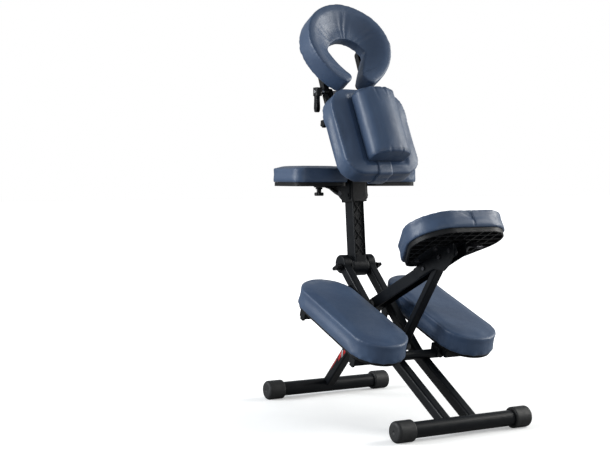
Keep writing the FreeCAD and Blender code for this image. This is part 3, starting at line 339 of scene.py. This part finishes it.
def printed_stripe(name, colour):
    """Printed film with small scuffs."""
    shader = Shader(name)
    scuffs = shader.patches(160.0, 5.0, 0.55, 0.7, 0.6)
    tone = shader.mix(scuffs, colour, tuple(0.45 * c for c in colour))
    normal = shader.bump(shader.noise(400.0), 0.00008)
    rough = shader.uneven(70.0, 2.0, 0.32, 0.5)
    return shader.finish(tone, rough, normal)


BLUE_DEEP = (0.031, 0.060, 0.122)
BLUE_PALE = (0.041, 0.076, 0.146)
THREAD_BLUE = (0.034, 0.060, 0.115)
COAT_BLACK = (0.0040, 0.0050, 0.0068)
COAT_RUBBED = (0.022, 0.024, 0.028)
PLASTIC_BLACK = (0.0032, 0.0036, 0.0046)
KNOB_BLACK = (0.0040, 0.0044, 0.0054)
LINER_GREY = (0.09, 0.09, 0.09)
ZINC = (0.52, 0.53, 0.55)
BLACK_OXIDE = (0.09, 0.09, 0.10)
STRIPE_RED = (0.55, 0.02, 0.02)
STRIPE_WHITE = (0.72, 0.72, 0.72)

VINYL = vinyl("blue_vinyl", BLUE_DEEP, BLUE_PALE)
STRAP = webbing("strap_vinyl", BLUE_DEEP, BLUE_PALE)
THREAD = thread("seam_thread", THREAD_BLUE)
FRAME_COAT = powder_coat("frame_coat", COAT_BLACK, COAT_RUBBED, roughness=0.36)
PLASTIC = moulded_plastic("black_plastic", PLASTIC_BLACK, roughness=0.46, grain=900.0)
GLOSS_PLASTIC = moulded_plastic("knob_plastic", KNOB_BLACK, roughness=0.24, grain=500.0)
RUBBER = rubber("rubber")
STEEL = brushed_metal("bright_steel", ZINC, roughness=0.30)
DARK_STEEL = brushed_metal("dark_steel", BLACK_OXIDE, roughness=0.36)
LINER = moulded_plastic("liner_plastic", LINER_GREY, roughness=0.42, grain=700.0)
RED_FILM = printed_stripe("red_film", STRIPE_RED)
WHITE_FILM = printed_stripe("white_film", STRIPE_WHITE)


# ---- soft pads -----------------------------------------------------------------------------------
def own_axes(node, tilt):
    """Matrix from a pad's own axes to the chair's, with its origin in the middle of the rest face."""
    turn = Matrix.Rotation(math.radians(tilt), 3, "X")
    points = coords(frame["nodes"][node].data) @ np.array(turn)
    low, high = points.min(0), points.max(0)
    middle = Vector(((low[0] + high[0]) / 2, (low[1] + high[1]) / 2, low[2]))
    return Matrix.Translation(turn @ middle) @ turn.to_4x4(), Vector(high - low)


def round_rims(mesh, thickness, radius):
    """Rounds a slab's sharp edges, apart from those of its rest face."""
    flat_angle = math.radians(2)
    rim_angle = math.radians(40)
    shape = bmesh.new()
    shape.from_mesh(mesh)
    bmesh.ops.dissolve_limit(shape, angle_limit=flat_angle, verts=shape.verts, edges=shape.edges)
    sharp = [e for e in shape.edges if len(e.link_faces) == 2 and e.calc_face_angle() > rim_angle]
    rims = [e for e in sharp if max(v.co.z for v in e.verts) > 0.3 * thickness]
    bmesh.ops.bevel(shape, geom=rims, offset=radius, segments=4, profile=0.5, affect="EDGES",
                    clamp_overlap=True)
    shape.to_mesh(mesh)
    shape.free()


def even_copy(name, node, place, thickness, rim):
    """The CAD pad as an even mesh in its own axes, with rounded rims."""
    obj = link(bpy.data.objects.new(name, frame["nodes"][node].data.copy()))
    obj.data.transform(place.inverted())
    obj.data.materials.clear()
    round_rims(obj.data, thickness, rim)
    remesh = obj.modifiers.new("even", "REMESH")
    remesh.mode = "VOXEL"
    remesh.voxel_size = VOXEL
    soften = obj.modifiers.new("soften", "SMOOTH")
    soften.factor = 0.5
    soften.iterations = SOFTEN_ROUNDS
    bake(obj)
    return obj


def spread(mesh, moves, rounds):
    """Evens out a move given for each vertex, by averaging it with its neighbours' some rounds over."""
    ends = np.empty(len(mesh.edges) * 2, np.int32)
    mesh.edges.foreach_get("vertices", ends)
    first, second = ends.reshape(-1, 2).T
    count = np.bincount(ends, minlength=len(moves))[:, None]
    for _ in range(rounds):
        total = np.zeros_like(moves)
        np.add.at(total, first, moves[second])
        np.add.at(total, second, moves[first])
        moves = 0.5 * moves + 0.5 * total / count
    return moves


def inflate(obj, thickness):
    """Cloth simulation with air pressure: the cover swells between its pinned base and its edges."""
    start = coords(obj.data)
    pinned = np.nonzero(start[:, 2] < REST_SHARE * thickness)[0]
    obj.vertex_groups.new(name="rest").add([int(i) for i in pinned], 1.0, "REPLACE")
    cloth = obj.modifiers.new("cover", "CLOTH")
    settings = cloth.settings
    settings.quality = 5
    settings.vertex_group_mass = "rest"
    settings.use_pressure = True
    settings.uniform_pressure_force = PRESSURE
    settings.effector_weights.gravity = 0.0
    cloth.point_cache.frame_end = CLOTH_FRAMES
    for number in range(1, CLOTH_FRAMES + 1):
        bpy.context.scene.frame_set(number)
    graph = bpy.context.evaluated_depsgraph_get()
    moved = coords(obj.evaluated_get(graph).data) - start
    bpy.context.scene.frame_set(1)
    obj.modifiers.clear()
    obj.vertex_groups.clear()
    length = np.linalg.norm(moved, axis=1, keepdims=True)
    capped = moved * SWELL_CAP * np.tanh(length / SWELL_CAP) / np.maximum(length, 1e-9)
    rim = np.hypot(edge_distance(start, thickness), thickness - start[:, 2])
    held = RIM_SWELL + (1 - RIM_SWELL) * smooth_step(0.0, RIM_HOLD, rim)
    set_coords(obj.data, start + spread(obj.data, capped, SPREAD_ROUNDS) * held[:, None])


def subdivide(obj):
    finer = obj.modifiers.new("finer", "SUBSURF")
    finer.levels = 1
    finer.render_levels = 1
    bake(obj)


def edge_distance(points, thickness):
    """How far each point lies from the pad's side wall, in the plane of the pad."""
    belt = 0.004
    wall = points[np.abs(points[:, 2] - 0.5 * thickness) < belt]
    tree = KDTree(len(wall))
    for i, p in enumerate(wall):
        tree.insert((p[0], p[1], 0.0), i)
    tree.balance()
    return np.array([tree.find((p[0], p[1], 0.0))[2] for p in points])


def segment_distance(points, start, end):
    """Distance of 2-D points from a segment, and how far along it they lie, 0 to 1."""
    start, end = np.array(start), np.array(end)
    run = end - start
    t = np.clip((points - start) @ run / (run @ run), 0.0, 1.0)
    return np.linalg.norm(points - start - t[:, None] * run, axis=1), t


def crease(points, mask, plane, start, end, width, push):
    """Presses a line into the cover: deepest at its start and fading out towards its end."""
    distance, t = segment_distance(points[:, plane], start, end)
    depth = bell(distance, width) * (1.0 - t) * mask
    return points + depth[:, None] * np.array(push)


def gathers(points, thickness, edge, pitch, depth):
    """Small puckers where the cover is drawn round the front edge."""
    middle, width = 0.004, 0.007
    radius = np.hypot(points[:, 0], points[:, 1]).mean()
    phase = np.arctan2(points[:, 1], points[:, 0]) * radius * 2 * math.pi / pitch
    near = bell(edge - middle, width) * smooth_step(0.75 * thickness, 0.95 * thickness, points[:, 2])
    lift = depth * np.sin(phase + 1.7 * np.sin(phase * 0.13)) * near
    return points + np.outer(lift, UPWARD)


def crown(points, thickness, edge, height, reach):
    """Lifts the middle of the front face."""
    front = smooth_step(0.5 * thickness, 0.95 * thickness, points[:, 2])
    return points + np.outer(height * (1 - np.exp(-edge / reach)) * front, UPWARD)


def soft_pad(name, node, tilt, body, sculpt, rim=0.005):
    """One upholstered pad that stands for a CAD solid. Returns it with its matrix and its CAD size."""
    place, size = own_axes(node, tilt)
    pad = even_copy(name, node, place, size.z, rim)
    inflate(pad, size.z)
    subdivide(pad)
    points = sculpt(coords(pad.data), size)
    points[:, 2] = np.maximum(points[:, 2], REST_GAP)
    set_coords(pad.data, points)
    pad.data.transform(place)
    pad.data.materials.append(VINYL)
    pad.data.shade_smooth()
    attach(pad, body)
    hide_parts(node)
    return pad, place, size


def shaped_knee(points, size):
    """A long pad with rounded ends, where the cover is tucked in pleats under the board."""
    pleats, depth = 17.0, 0.0010
    edge = edge_distance(points, size.z)
    points = crown(points, size.z, edge, height=0.0012, reach=0.030)
    low = smooth_step(0.35 * size.z, 0.1 * size.z, points[:, 2]) * (edge < 0.02)
    ends = smooth_step(0.6, 0.85, np.abs(points[:, 1]) / (size.y / 2))
    angle = np.arctan2(points[:, 0], np.abs(points[:, 1]) - size.y / 2 + size.x / 2)
    tucks = depth * np.sin(angle * pleats) * low * ends
    outward = np.stack([np.sin(angle), np.cos(angle) * np.sign(points[:, 1]), np.zeros(len(points))], 1)
    return points + outward * tucks[:, None]


def shaped_seat(points, size):
    """A crowned pad, drawn in along its rear join, with two folds that fan out from the join."""
    edge = edge_distance(points, size.z)
    points = crown(points, size.z, edge, height=0.003, reach=0.035)
    rear = smooth_step(-0.40 * size.y, -0.47 * size.y, points[:, 1])
    top = 0.95 * size.z
    foot, head = (SEAT_SEAM_X, 0.1 * size.z), (SEAT_SEAM_X, 1.4 * top)
    points = crease(points, rear, REAR_WALL, foot, head, width=0.0028, push=(0, 0.0018, 0))
    long_fold = (0.004, 0.045, 0.55, 0.005, 0.0030)
    short_fold = (0.006, 0.032, 0.80, 0.004, 0.0022)
    for near, far, rise, width, depth in (long_fold, short_fold):
        foot, head = (SEAT_SEAM_X - near, rise * top), (SEAT_SEAM_X - far, top)
        points = crease(points, rear, REAR_WALL, foot, head, width, push=(0, depth, 0))
    return gathers(points, size.z, edge, pitch=0.019, depth=0.0003)


def shaped_armrest(points, size):
    """A crowned pad, with folds at both of its rear corners."""
    edge = edge_distance(points, size.z)
    points = crown(points, size.z, edge, height=0.0025, reach=0.030)
    corner = bell(points[:, 1] + size.y / 2, 0.03)
    for side in (-1, 1):
        for offset, rise in ((0.150, 0.9), (0.165, 0.65), (0.190, 0.8)):
            foot = (side * offset, 0.35 * size.z)
            head = (side * (offset + 0.028), rise * size.z)
            points = crease(points, corner, REAR_WALL, foot, head, width=0.006, push=(0, 0.0013, 0))
    return gathers(points, size.z, edge, pitch=0.023, depth=0.0003)


def shaped_chest(points, size):
    """A crowned pad with gathered sides, pressed flat where the bolster lies on it."""
    edge = edge_distance(points, size.z)
    points = crown(points, size.z, edge, height=0.002, reach=0.030)
    depth = 0.0005 * smooth_step(0.095, 0.12, np.abs(points[:, 0]))
    points = gathers(points, size.z, edge, pitch=0.0085, depth=depth)
    half_width, half_length, fade = 0.067, 0.111, 0.017
    under = smooth_step(half_width + fade, half_width, np.abs(points[:, 0] - BOLSTER_X))
    under *= smooth_step(half_length + fade, half_length, np.abs(points[:, 1] - BOLSTER_Y))
    flat = np.minimum(points[:, 2], size.z)
    points[:, 2] += (flat - points[:, 2]) * under
    return points


def shaped_bolster(points, size):
    """A loaf with full shoulders, drawn in at both ends."""
    raised = smooth_step(0.15 * size.z, 0.45 * size.z, points[:, 2])
    shoulder = smooth_step(0.025, 0.060, np.abs(points[:, 0]))
    points = points + np.outer(0.008 * shoulder * raised, UPWARD)
    top = size.y / 2
    front = smooth_step(0.55 * size.z, 0.9 * size.z, points[:, 2])
    down = (0, 0, -0.0028)
    for x, length in ((-0.020, 0.050), (0.012, 0.034), (0.030, 0.042)):
        points = crease(points, front, FACE, (x, top), (x + 0.006, top - length), width=0.0045, push=down)
    for x in (-0.018, 0.022):
        points = crease(points, front, FACE, (x, -top), (x - 0.004, -top + 0.024), width=0.005, push=down)
    fullness = bell(points[:, 1], 0.09) * front
    return points + np.outer(0.002 * fullness, UPWARD)


def shaped_cradle(points, size):
    """A dish: the outer rim stands out towards the sitter, and the face slopes in to the opening."""
    dip, rise, side_rise = 0.024, 0.030, 0.006
    across = np.hypot(points[:, 0], points[:, 1])
    outer = smooth_step(0.055, 0.148, across)
    share = points[:, 2] / size.z
    sides = smooth_step(0.06, 0.15, np.abs(points[:, 0]))
    points = points + np.outer(share * (-dip + rise * outer) + side_rise * sides * share, UPWARD)
    angle = np.arctan2(points[:, 0], points[:, 1])
    upper = smooth_step(2.0, 1.1, np.abs(angle))
    inner = smooth_step(0.130, 0.085, across)
    uneven = 0.55 + 0.45 * np.sin(angle * 5.0 + 0.8)
    folds = np.sin(angle * 17.0 + 1.8 * np.sin(angle * 6.0)) * upper * inner * uneven
    points = points + np.outer(0.0007 * folds * share, UPWARD)
    front = smooth_step(0.5, 0.9, share)
    for side, y in ((-1, -0.100), (1, -0.092)):
        start = (side * 0.040, y)
        end = (side * 0.105, y + 0.016)
        points = crease(points, front, FACE, start, end, width=0.007, push=(0, 0, -0.0045))
    return points


# ---- trim on the pads ----------------------------------------------------------------------------
def surface_of(pad):
    """A pad's faces, ready to be asked for the nearest point."""
    points = [v.co for v in pad.data.vertices]
    return BVHTree.FromPolygons(points, [tuple(p.vertices) for p in pad.data.polygons])


def on_surface(tree, place, path):
    """Points of a path given in a pad's own axes, moved onto the pad, with the pad's normals there."""
    found = [tree.find_nearest(place @ Vector(p)) for p in path]
    return [(hit[0], hit[1]) for hit in found]


def dense(path, step):
    """The path with points added, no more than a step apart."""
    out = []
    for a, b in zip(path, path[1:]):
        a, b = Vector(a), Vector(b)
        count = max(1, math.ceil((b - a).length / step))
        out += [a.lerp(b, i / count) for i in range(count)]
    return out + [Vector(path[-1])]


def tube(stations, radius, sides):
    """Vertices and faces of a tube with closed ends along (point, normal) stations."""
    vertices, faces = [], []
    count = len(stations)
    for i, (point, normal) in enumerate(stations):
        ahead = stations[min(i + 1, count - 1)][0] - stations[max(i - 1, 0)][0]
        side = ahead.cross(normal).normalized()
        up = side.cross(ahead).normalized()
        for k in range(sides):
            angle = 2 * math.pi * k / sides
            vertices.append(point + (side * math.cos(angle) + up * math.sin(angle)) * radius)
    for i in range(count - 1):
        for k in range(sides):
            a, b = i * sides + k, i * sides + (k + 1) % sides
            faces.append((a, b, b + sides, a + sides))
    faces.append(tuple(range(sides))[::-1])
    faces.append(tuple((count - 1) * sides + k for k in range(sides)))
    return vertices, faces


def seam(name, tree, place, path, body):
    """A raised sewn line that follows the pad's surface."""
    stations = on_surface(tree, place, dense(path, 0.003))
    vertices, faces = tube(stations, SEAM_RADIUS, sides=6)
    return new_piece(name, vertices, faces, VINYL, body)


def stitches(name, tree, place, path, body):
    """A row of separate stitches along a path on a surface."""
    points = on_surface(tree, place, dense(path, 0.0008))
    walked = [0.0]
    for a, b in zip(points, points[1:]):
        walked.append(walked[-1] + (b[0] - a[0]).length)
    vertices, faces = [], []
    start = 0.0
    while start + STITCH_LENGTH < walked[-1]:
        picked = [p for p, w in zip(points, walked) if start <= w <= start + STITCH_LENGTH]
        start += STITCH_LENGTH + STITCH_GAP
        if len(picked) < 3:
            continue
        ends_and_middle = (picked[0], picked[len(picked) // 2], picked[-1])
        stations = [(p + n * THREAD_RADIUS * 0.4, n) for p, n in ends_and_middle]
        more, more_faces = tube(stations, THREAD_RADIUS, sides=5)
        base = len(vertices)
        vertices += more
        faces += [tuple(base + i for i in face) for face in more_faces]
    return new_piece(name, vertices, faces, THREAD, body)


# ---- the pads ------------------------------------------------------------------------------------
def seat():
    pad, place, size = soft_pad("seat_pad", "seat_cushion", SEAT_TILT, "seat", shaped_seat)
    tree = surface_of(pad)
    x, rear = SEAT_SEAM_X, -size.y / 2
    path = [(x, rear, 0.003), (x, rear, size.z - 0.004), (x, rear + 0.014, size.z)]
    seam("seat_rear_seam", tree, place, path, "seat")
    beside = [(x + BESIDE_SEAM, y, z) for _, y, z in path[:2]]
    stitches("seat_rear_stitches", tree, place, beside, "seat")


def knees():
    for side in ("left", "right"):
        soft_pad(f"knee_pad_{side}", f"knee_cushion_{side}", KNEE_TILT, f"knee_{side}", shaped_knee)


def armrest():
    pad, place, size = soft_pad("armrest_pad", "armrest_cushion", 0.0, "armrest", shaped_armrest)
    tree = surface_of(pad)
    rear = -size.y / 2
    for side, sign in (("left", -1), ("right", 1)):
        x = sign * ARMREST_SEAM_X
        path = [(x, rear, 0.003), (x, rear, size.z - 0.005)]
        seam(f"armrest_seam_{side}", tree, place, path, "armrest")
        beside = [(x + sign * BESIDE_SEAM, y, z) for _, y, z in path]
        stitches(f"armrest_stitches_{side}", tree, place, beside, "armrest")


def chest():
    return soft_pad("chest_pad", "chest_cushion", CHEST_TILT, "chest", shaped_chest)[0]


def cradle():
    soft_pad("cradle_pad", "cradle_cushion", CHEST_TILT, "cradle", shaped_cradle, rim=0.012)


def bolster():
    pad, place, size = soft_pad("bolster_pad", "sternum_bolster", CHEST_TILT, "chest", shaped_bolster,
                                rim=0.004)
    tree = surface_of(pad)
    half, high = size.x / 2, size.z
    left_flank = [(-half, 0.004), (-half, 0.65 * high)]
    back = [(0, 1.02 * high), (0.55 * half, high)]
    right_flank = [(half, 0.5 * high), (half, 0.004)]
    section = left_flank + back + right_flank
    for end, sign in (("lower", -1), ("upper", 1)):
        y = sign * (size.y / 2 - 0.006)
        path = [(x, y, z) for x, z in section]
        seam(f"bolster_seam_{end}", tree, place, path, "chest")
        inside = [(x, y - sign * BESIDE_SEAM, z) for x, z in section]
        stitches(f"bolster_stitches_{end}", tree, place, inside, "chest")


def ribbon(path, left, right, thickness, segments):
    """A closed strap along a path in the (y, z) plane, with a slightly bowed section."""
    bulge = 0.45
    vertices, faces = [], []
    count = len(path)
    ring = 2 * (segments + 1)
    for i, (y, z) in enumerate(path):
        ahead = Vector(path[min(i + 1, count - 1)]) - Vector(path[max(i - 1, 0)])
        out = Vector((ahead[1], -ahead[0])).normalized()
        for k in range(segments + 1):
            t = k / segments
            bow = thickness * (1.0 + bulge * math.sin(math.pi * t))
            x = left + (right - left) * t
            vertices.append((x, y + out[0] * bow, z + out[1] * bow))
        for k in range(segments, -1, -1):
            x = left + (right - left) * k / segments
            vertices.append((x, y, z))
    for i in range(count - 1):
        for k in range(ring):
            a, b = i * ring + k, i * ring + (k + 1) % ring
            faces.append((a, a + ring, b + ring, b))
    faces.append(tuple(range(ring)))
    faces.append(tuple((count - 1) * ring + k for k in range(ring))[::-1])
    return vertices, faces


def rounded_path(corners, radius, steps):
    """A (y, z) path with its inner corners rounded."""
    path = [Vector(corners[0])]
    for before, here, after in zip(corners, corners[1:], corners[2:]):
        here = Vector(here)
        start = here + (Vector(before) - here).normalized() * radius
        end = here + (Vector(after) - here).normalized() * radius
        for i in range(steps + 1):
            t = i / steps
            path.append(start.lerp(here, t).lerp(here.lerp(end, t), t))
    return path + [Vector(corners[-1])]


def lifted(points, tree, clearance):
    """The points, each moved out until it stands at least its clearance off a surface."""
    out = []
    for point, gap in zip(points, clearance):
        hit, normal, _, _ = tree.find_nearest(point)
        short = gap - (point - hit).dot(normal)
        out.append(point + normal * max(0.0, short))
    return out


def strap(chest_pad):
    """Strap from under the bolster down the chest pad's face, round its lower edge and up behind it."""
    thickness, inset, edge_inset, side_inset = 0.0016, 0.0022, 0.0030, 0.0005
    tail, hem, segments = 0.040, 0.0045, 8
    outer_gap, inner_gap = 0.0021, 0.0003
    place, size = own_axes("bolster_strap", CHEST_TILT)
    low_y, high_y = -size.y / 2, size.y / 2
    half = size.x / 2 - side_inset
    front = size.z - inset
    lower = low_y + edge_inset
    corners = [(high_y, front), (lower, front), (lower, inset), (low_y + tail, inset)]
    path = dense(rounded_path(corners, radius=0.010, steps=6), 0.004)
    vertices, faces = ribbon(path, -half, half, thickness, segments)
    ring = 2 * (segments + 1)
    clearance = [outer_gap if i % ring <= segments else inner_gap for i in range(len(vertices))]
    placed = lifted([place @ Vector(v) for v in vertices], surface_of(chest_pad), clearance)
    piece = new_piece("bolster_strap_band", placed, faces, STRAP, "chest")
    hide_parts("bolster_strap")
    tree = surface_of(piece)
    for side, x in (("left", -half + hem), ("right", half - hem)):
        line = [(x, y, front + 0.003) for y in (high_y - 0.002, low_y + 0.012)]
        stitches(f"strap_stitches_{side}", tree, place, line, "chest")


def plunger_coil():
    """The plunger's spring, copied from the CAD spring and riding on the carriage."""
    coil = link(bpy.data.objects.new("plunger_coil", frame["nodes"]["plunger_spring"].data.copy()))
    coil.data.materials.clear()
    coil.data.materials.append(STEEL)
    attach(coil, "carriage")
    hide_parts("plunger_spring")
    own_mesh(coil)


# ---- generic stripe on the front leg -------------------------------------------------------------
def stripe_plate(name, along, across, slant, material):
    """A thin slanted film on the leg's left face, placed along and across the leg from its pivot."""
    film, gap = 0.0003, 0.00002
    joint = next(j for j in frame["joints"] if j["name"] == "front_leg_fold")
    place = Matrix.Translation(joint["pos_m"]) @ Matrix.Rotation(math.radians(LEG_TILT), 4, "X")
    (low, high), (near, far) = along, across
    outline = [(near, low), (far, low + slant), (far, high + slant), (near, high)]
    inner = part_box("front_leg")[0].x - gap
    on_leg = [place @ Vector((0.0, y, z)) for y, z in outline]
    vertices = [(x, p.y, p.z) for x in (inner, inner - film) for p in on_leg]
    faces = [(0, 1, 2, 3), (7, 6, 5, 4), (0, 4, 5, 1), (1, 5, 6, 2), (2, 6, 7, 3), (3, 7, 4, 0)]
    return new_piece(name, vertices, faces, material, "front_leg")


def leg_stripes():
    gentle, steep = 0.012, 0.018
    stripe_plate("leg_stripe_long", (-0.345, -0.288), (0.0075, 0.0105), gentle, RED_FILM)
    stripe_plate("leg_stripe_low", (-0.288, -0.262), (-0.002, 0.0105), steep, RED_FILM)
    stripe_plate("leg_stripe_pale", (-0.262, -0.254), (-0.006, 0.0090), steep, WHITE_FILM)
    stripe_plate("leg_stripe_high", (-0.250, -0.226), (-0.008, 0.0060), steep, RED_FILM)


# ---- finishes of the carried-over nodes ----------------------------------------------------------
FINISH_OF_SLOT = {"blue_vinyl": VINYL, "frame_coat": FRAME_COAT, "black_plastic": PLASTIC, "rubber": RUBBER,
                  "bright_steel": STEEL, "dark_steel": DARK_STEEL, "liner_plastic": LINER}
# the clamps' smooth mouldings, and the bushes that show at the hub
GLOSSY_NODES = ("hub_knob_left", "hub_knob_right", "armrest_knob", "chest_tilt_knob", "post_knob",
                "cam_lever", "mast_bushes")


def paint_nodes():
    for part in frame["record"]["subparts"]:
        name = part["node"]
        mesh = frame["nodes"][name].data
        material = GLOSS_PLASTIC if name in GLOSSY_NODES else FINISH_OF_SLOT[part["material_slot"]]
        mesh.materials.clear()
        mesh.materials.append(material)


# ---- studio --------------------------------------------------------------------------------------
def floor():
    """Pale floor: it fades to white away from the chair, and throws back less light than it shows."""
    reach = 30.0
    fade_from, fade_to, glow_near = 0.3, 2.6, 0.25
    paler, palest, thrown_back = (0.88, 0.88, 0.88), (0.92, 0.92, 0.92), (0.30, 0.30, 0.30)
    mesh = bpy.data.meshes.new("studio_floor")
    corners = [(-reach, -reach, 0), (reach, -reach, 0), (reach, reach, 0), (-reach, reach, 0)]
    mesh.from_pydata(corners, [], [(0, 1, 2, 3)])
    shader = Shader("studio_floor")
    seen = shader.tree.nodes.new("ShaderNodeLightPath").outputs["Is Camera Ray"]
    pale = shader.mix(shader.uneven(3.0, 3.0, 0.0, 1.0), paler, palest)
    tone = shader.mix(seen, thrown_back, pale)
    away = shader.tree.nodes.new("ShaderNodeVectorMath")
    away.operation = "LENGTH"
    shader.join(shader.where, away.inputs[0])
    glow = shader.tree.nodes.new("ShaderNodeMath")
    glow.operation = "MULTIPLY"
    shader.join(seen, glow.inputs[0])
    shader.join(shader.ramp(away.outputs["Value"], fade_from, fade_to, glow_near, 1.0), glow.inputs[1])
    shader.join(glow.outputs["Value"], shader.surface.inputs["Emission Strength"])
    rough = shader.uneven(8.0, 2.0, 0.6, 0.7)
    normal = shader.bump(shader.noise(200.0), 0.0001)
    mesh.materials.append(shader.finish(tone, rough, normal, Emission_Color=(1.0, 1.0, 1.0, 1.0)))
    link(bpy.data.objects.new("studio_floor", mesh))


def area_light(name, at, towards, size, power, colour):
    light = bpy.data.lights.new(name, "AREA")
    light.shape = "RECTANGLE"
    light.size, light.size_y = size
    light.energy = power
    light.color = colour
    obj = link(bpy.data.objects.new(name, light))
    obj.location = at
    obj.rotation_euler = (Vector(towards) - Vector(at)).to_track_quat("-Z", "Y").to_euler()


def world():
    """White to the camera, and a dimmer pale surround as light."""
    surround = bpy.data.worlds.new("surround")
    surround.use_nodes = True
    tree = surround.node_tree
    tree.nodes.clear()
    output = tree.nodes.new("ShaderNodeOutputWorld")
    mixer = tree.nodes.new("ShaderNodeMixShader")
    path = tree.nodes.new("ShaderNodeLightPath")
    seen = tree.nodes.new("ShaderNodeBackground")
    lit = tree.nodes.new("ShaderNodeBackground")
    seen.inputs["Color"].default_value = (1.0, 1.0, 1.0, 1.0)
    seen.inputs["Strength"].default_value = 1.0
    lit.inputs["Color"].default_value = (0.93, 0.97, 1.0, 1.0)
    lit.inputs["Strength"].default_value = 0.42
    tree.links.new(path.outputs["Is Camera Ray"], mixer.inputs["Fac"])
    tree.links.new(lit.outputs["Background"], mixer.inputs[1])
    tree.links.new(seen.outputs["Background"], mixer.inputs[2])
    tree.links.new(mixer.outputs["Shader"], output.inputs["Surface"])
    bpy.context.scene.world = surround


def studio():
    floor()
    world()
    middle = (0.0, 0.0, 0.65)
    cool, warm, white = (0.95, 0.98, 1.0), (1.0, 0.99, 0.95), (1.0, 1.0, 1.0)
    area_light("key", (-3.2, 1.2, 1.5), middle, size=(1.8, 2.2), power=112.0, colour=cool)
    area_light("fill", (3.5, -1.2, 2.0), middle, size=(2.4, 2.4), power=150.0, colour=warm)
    area_light("front", (-1.2, -3.6, 1.6), middle, size=(1.6, 1.6), power=16.0, colour=white)


def camera():
    lens = bpy.data.cameras.new("camera")
    lens.lens = CAMERA_LENS
    lens.sensor_width = 36.0
    obj = link(bpy.data.objects.new("camera", lens))
    obj.location = CAMERA_AT
    obj.rotation_euler = [math.radians(angle) for angle in CAMERA_TURN]
    bpy.context.scene.camera = obj
    bpy.context.scene.view_settings.view_transform = "Standard"


# ---- build ---------------------------------------------------------------------------------------
seat()
knees()
armrest()
chest_pad = chest()
cradle()
bolster()
strap(chest_pad)
plunger_coil()
leg_stripes()
paint_nodes()
studio()
camera()
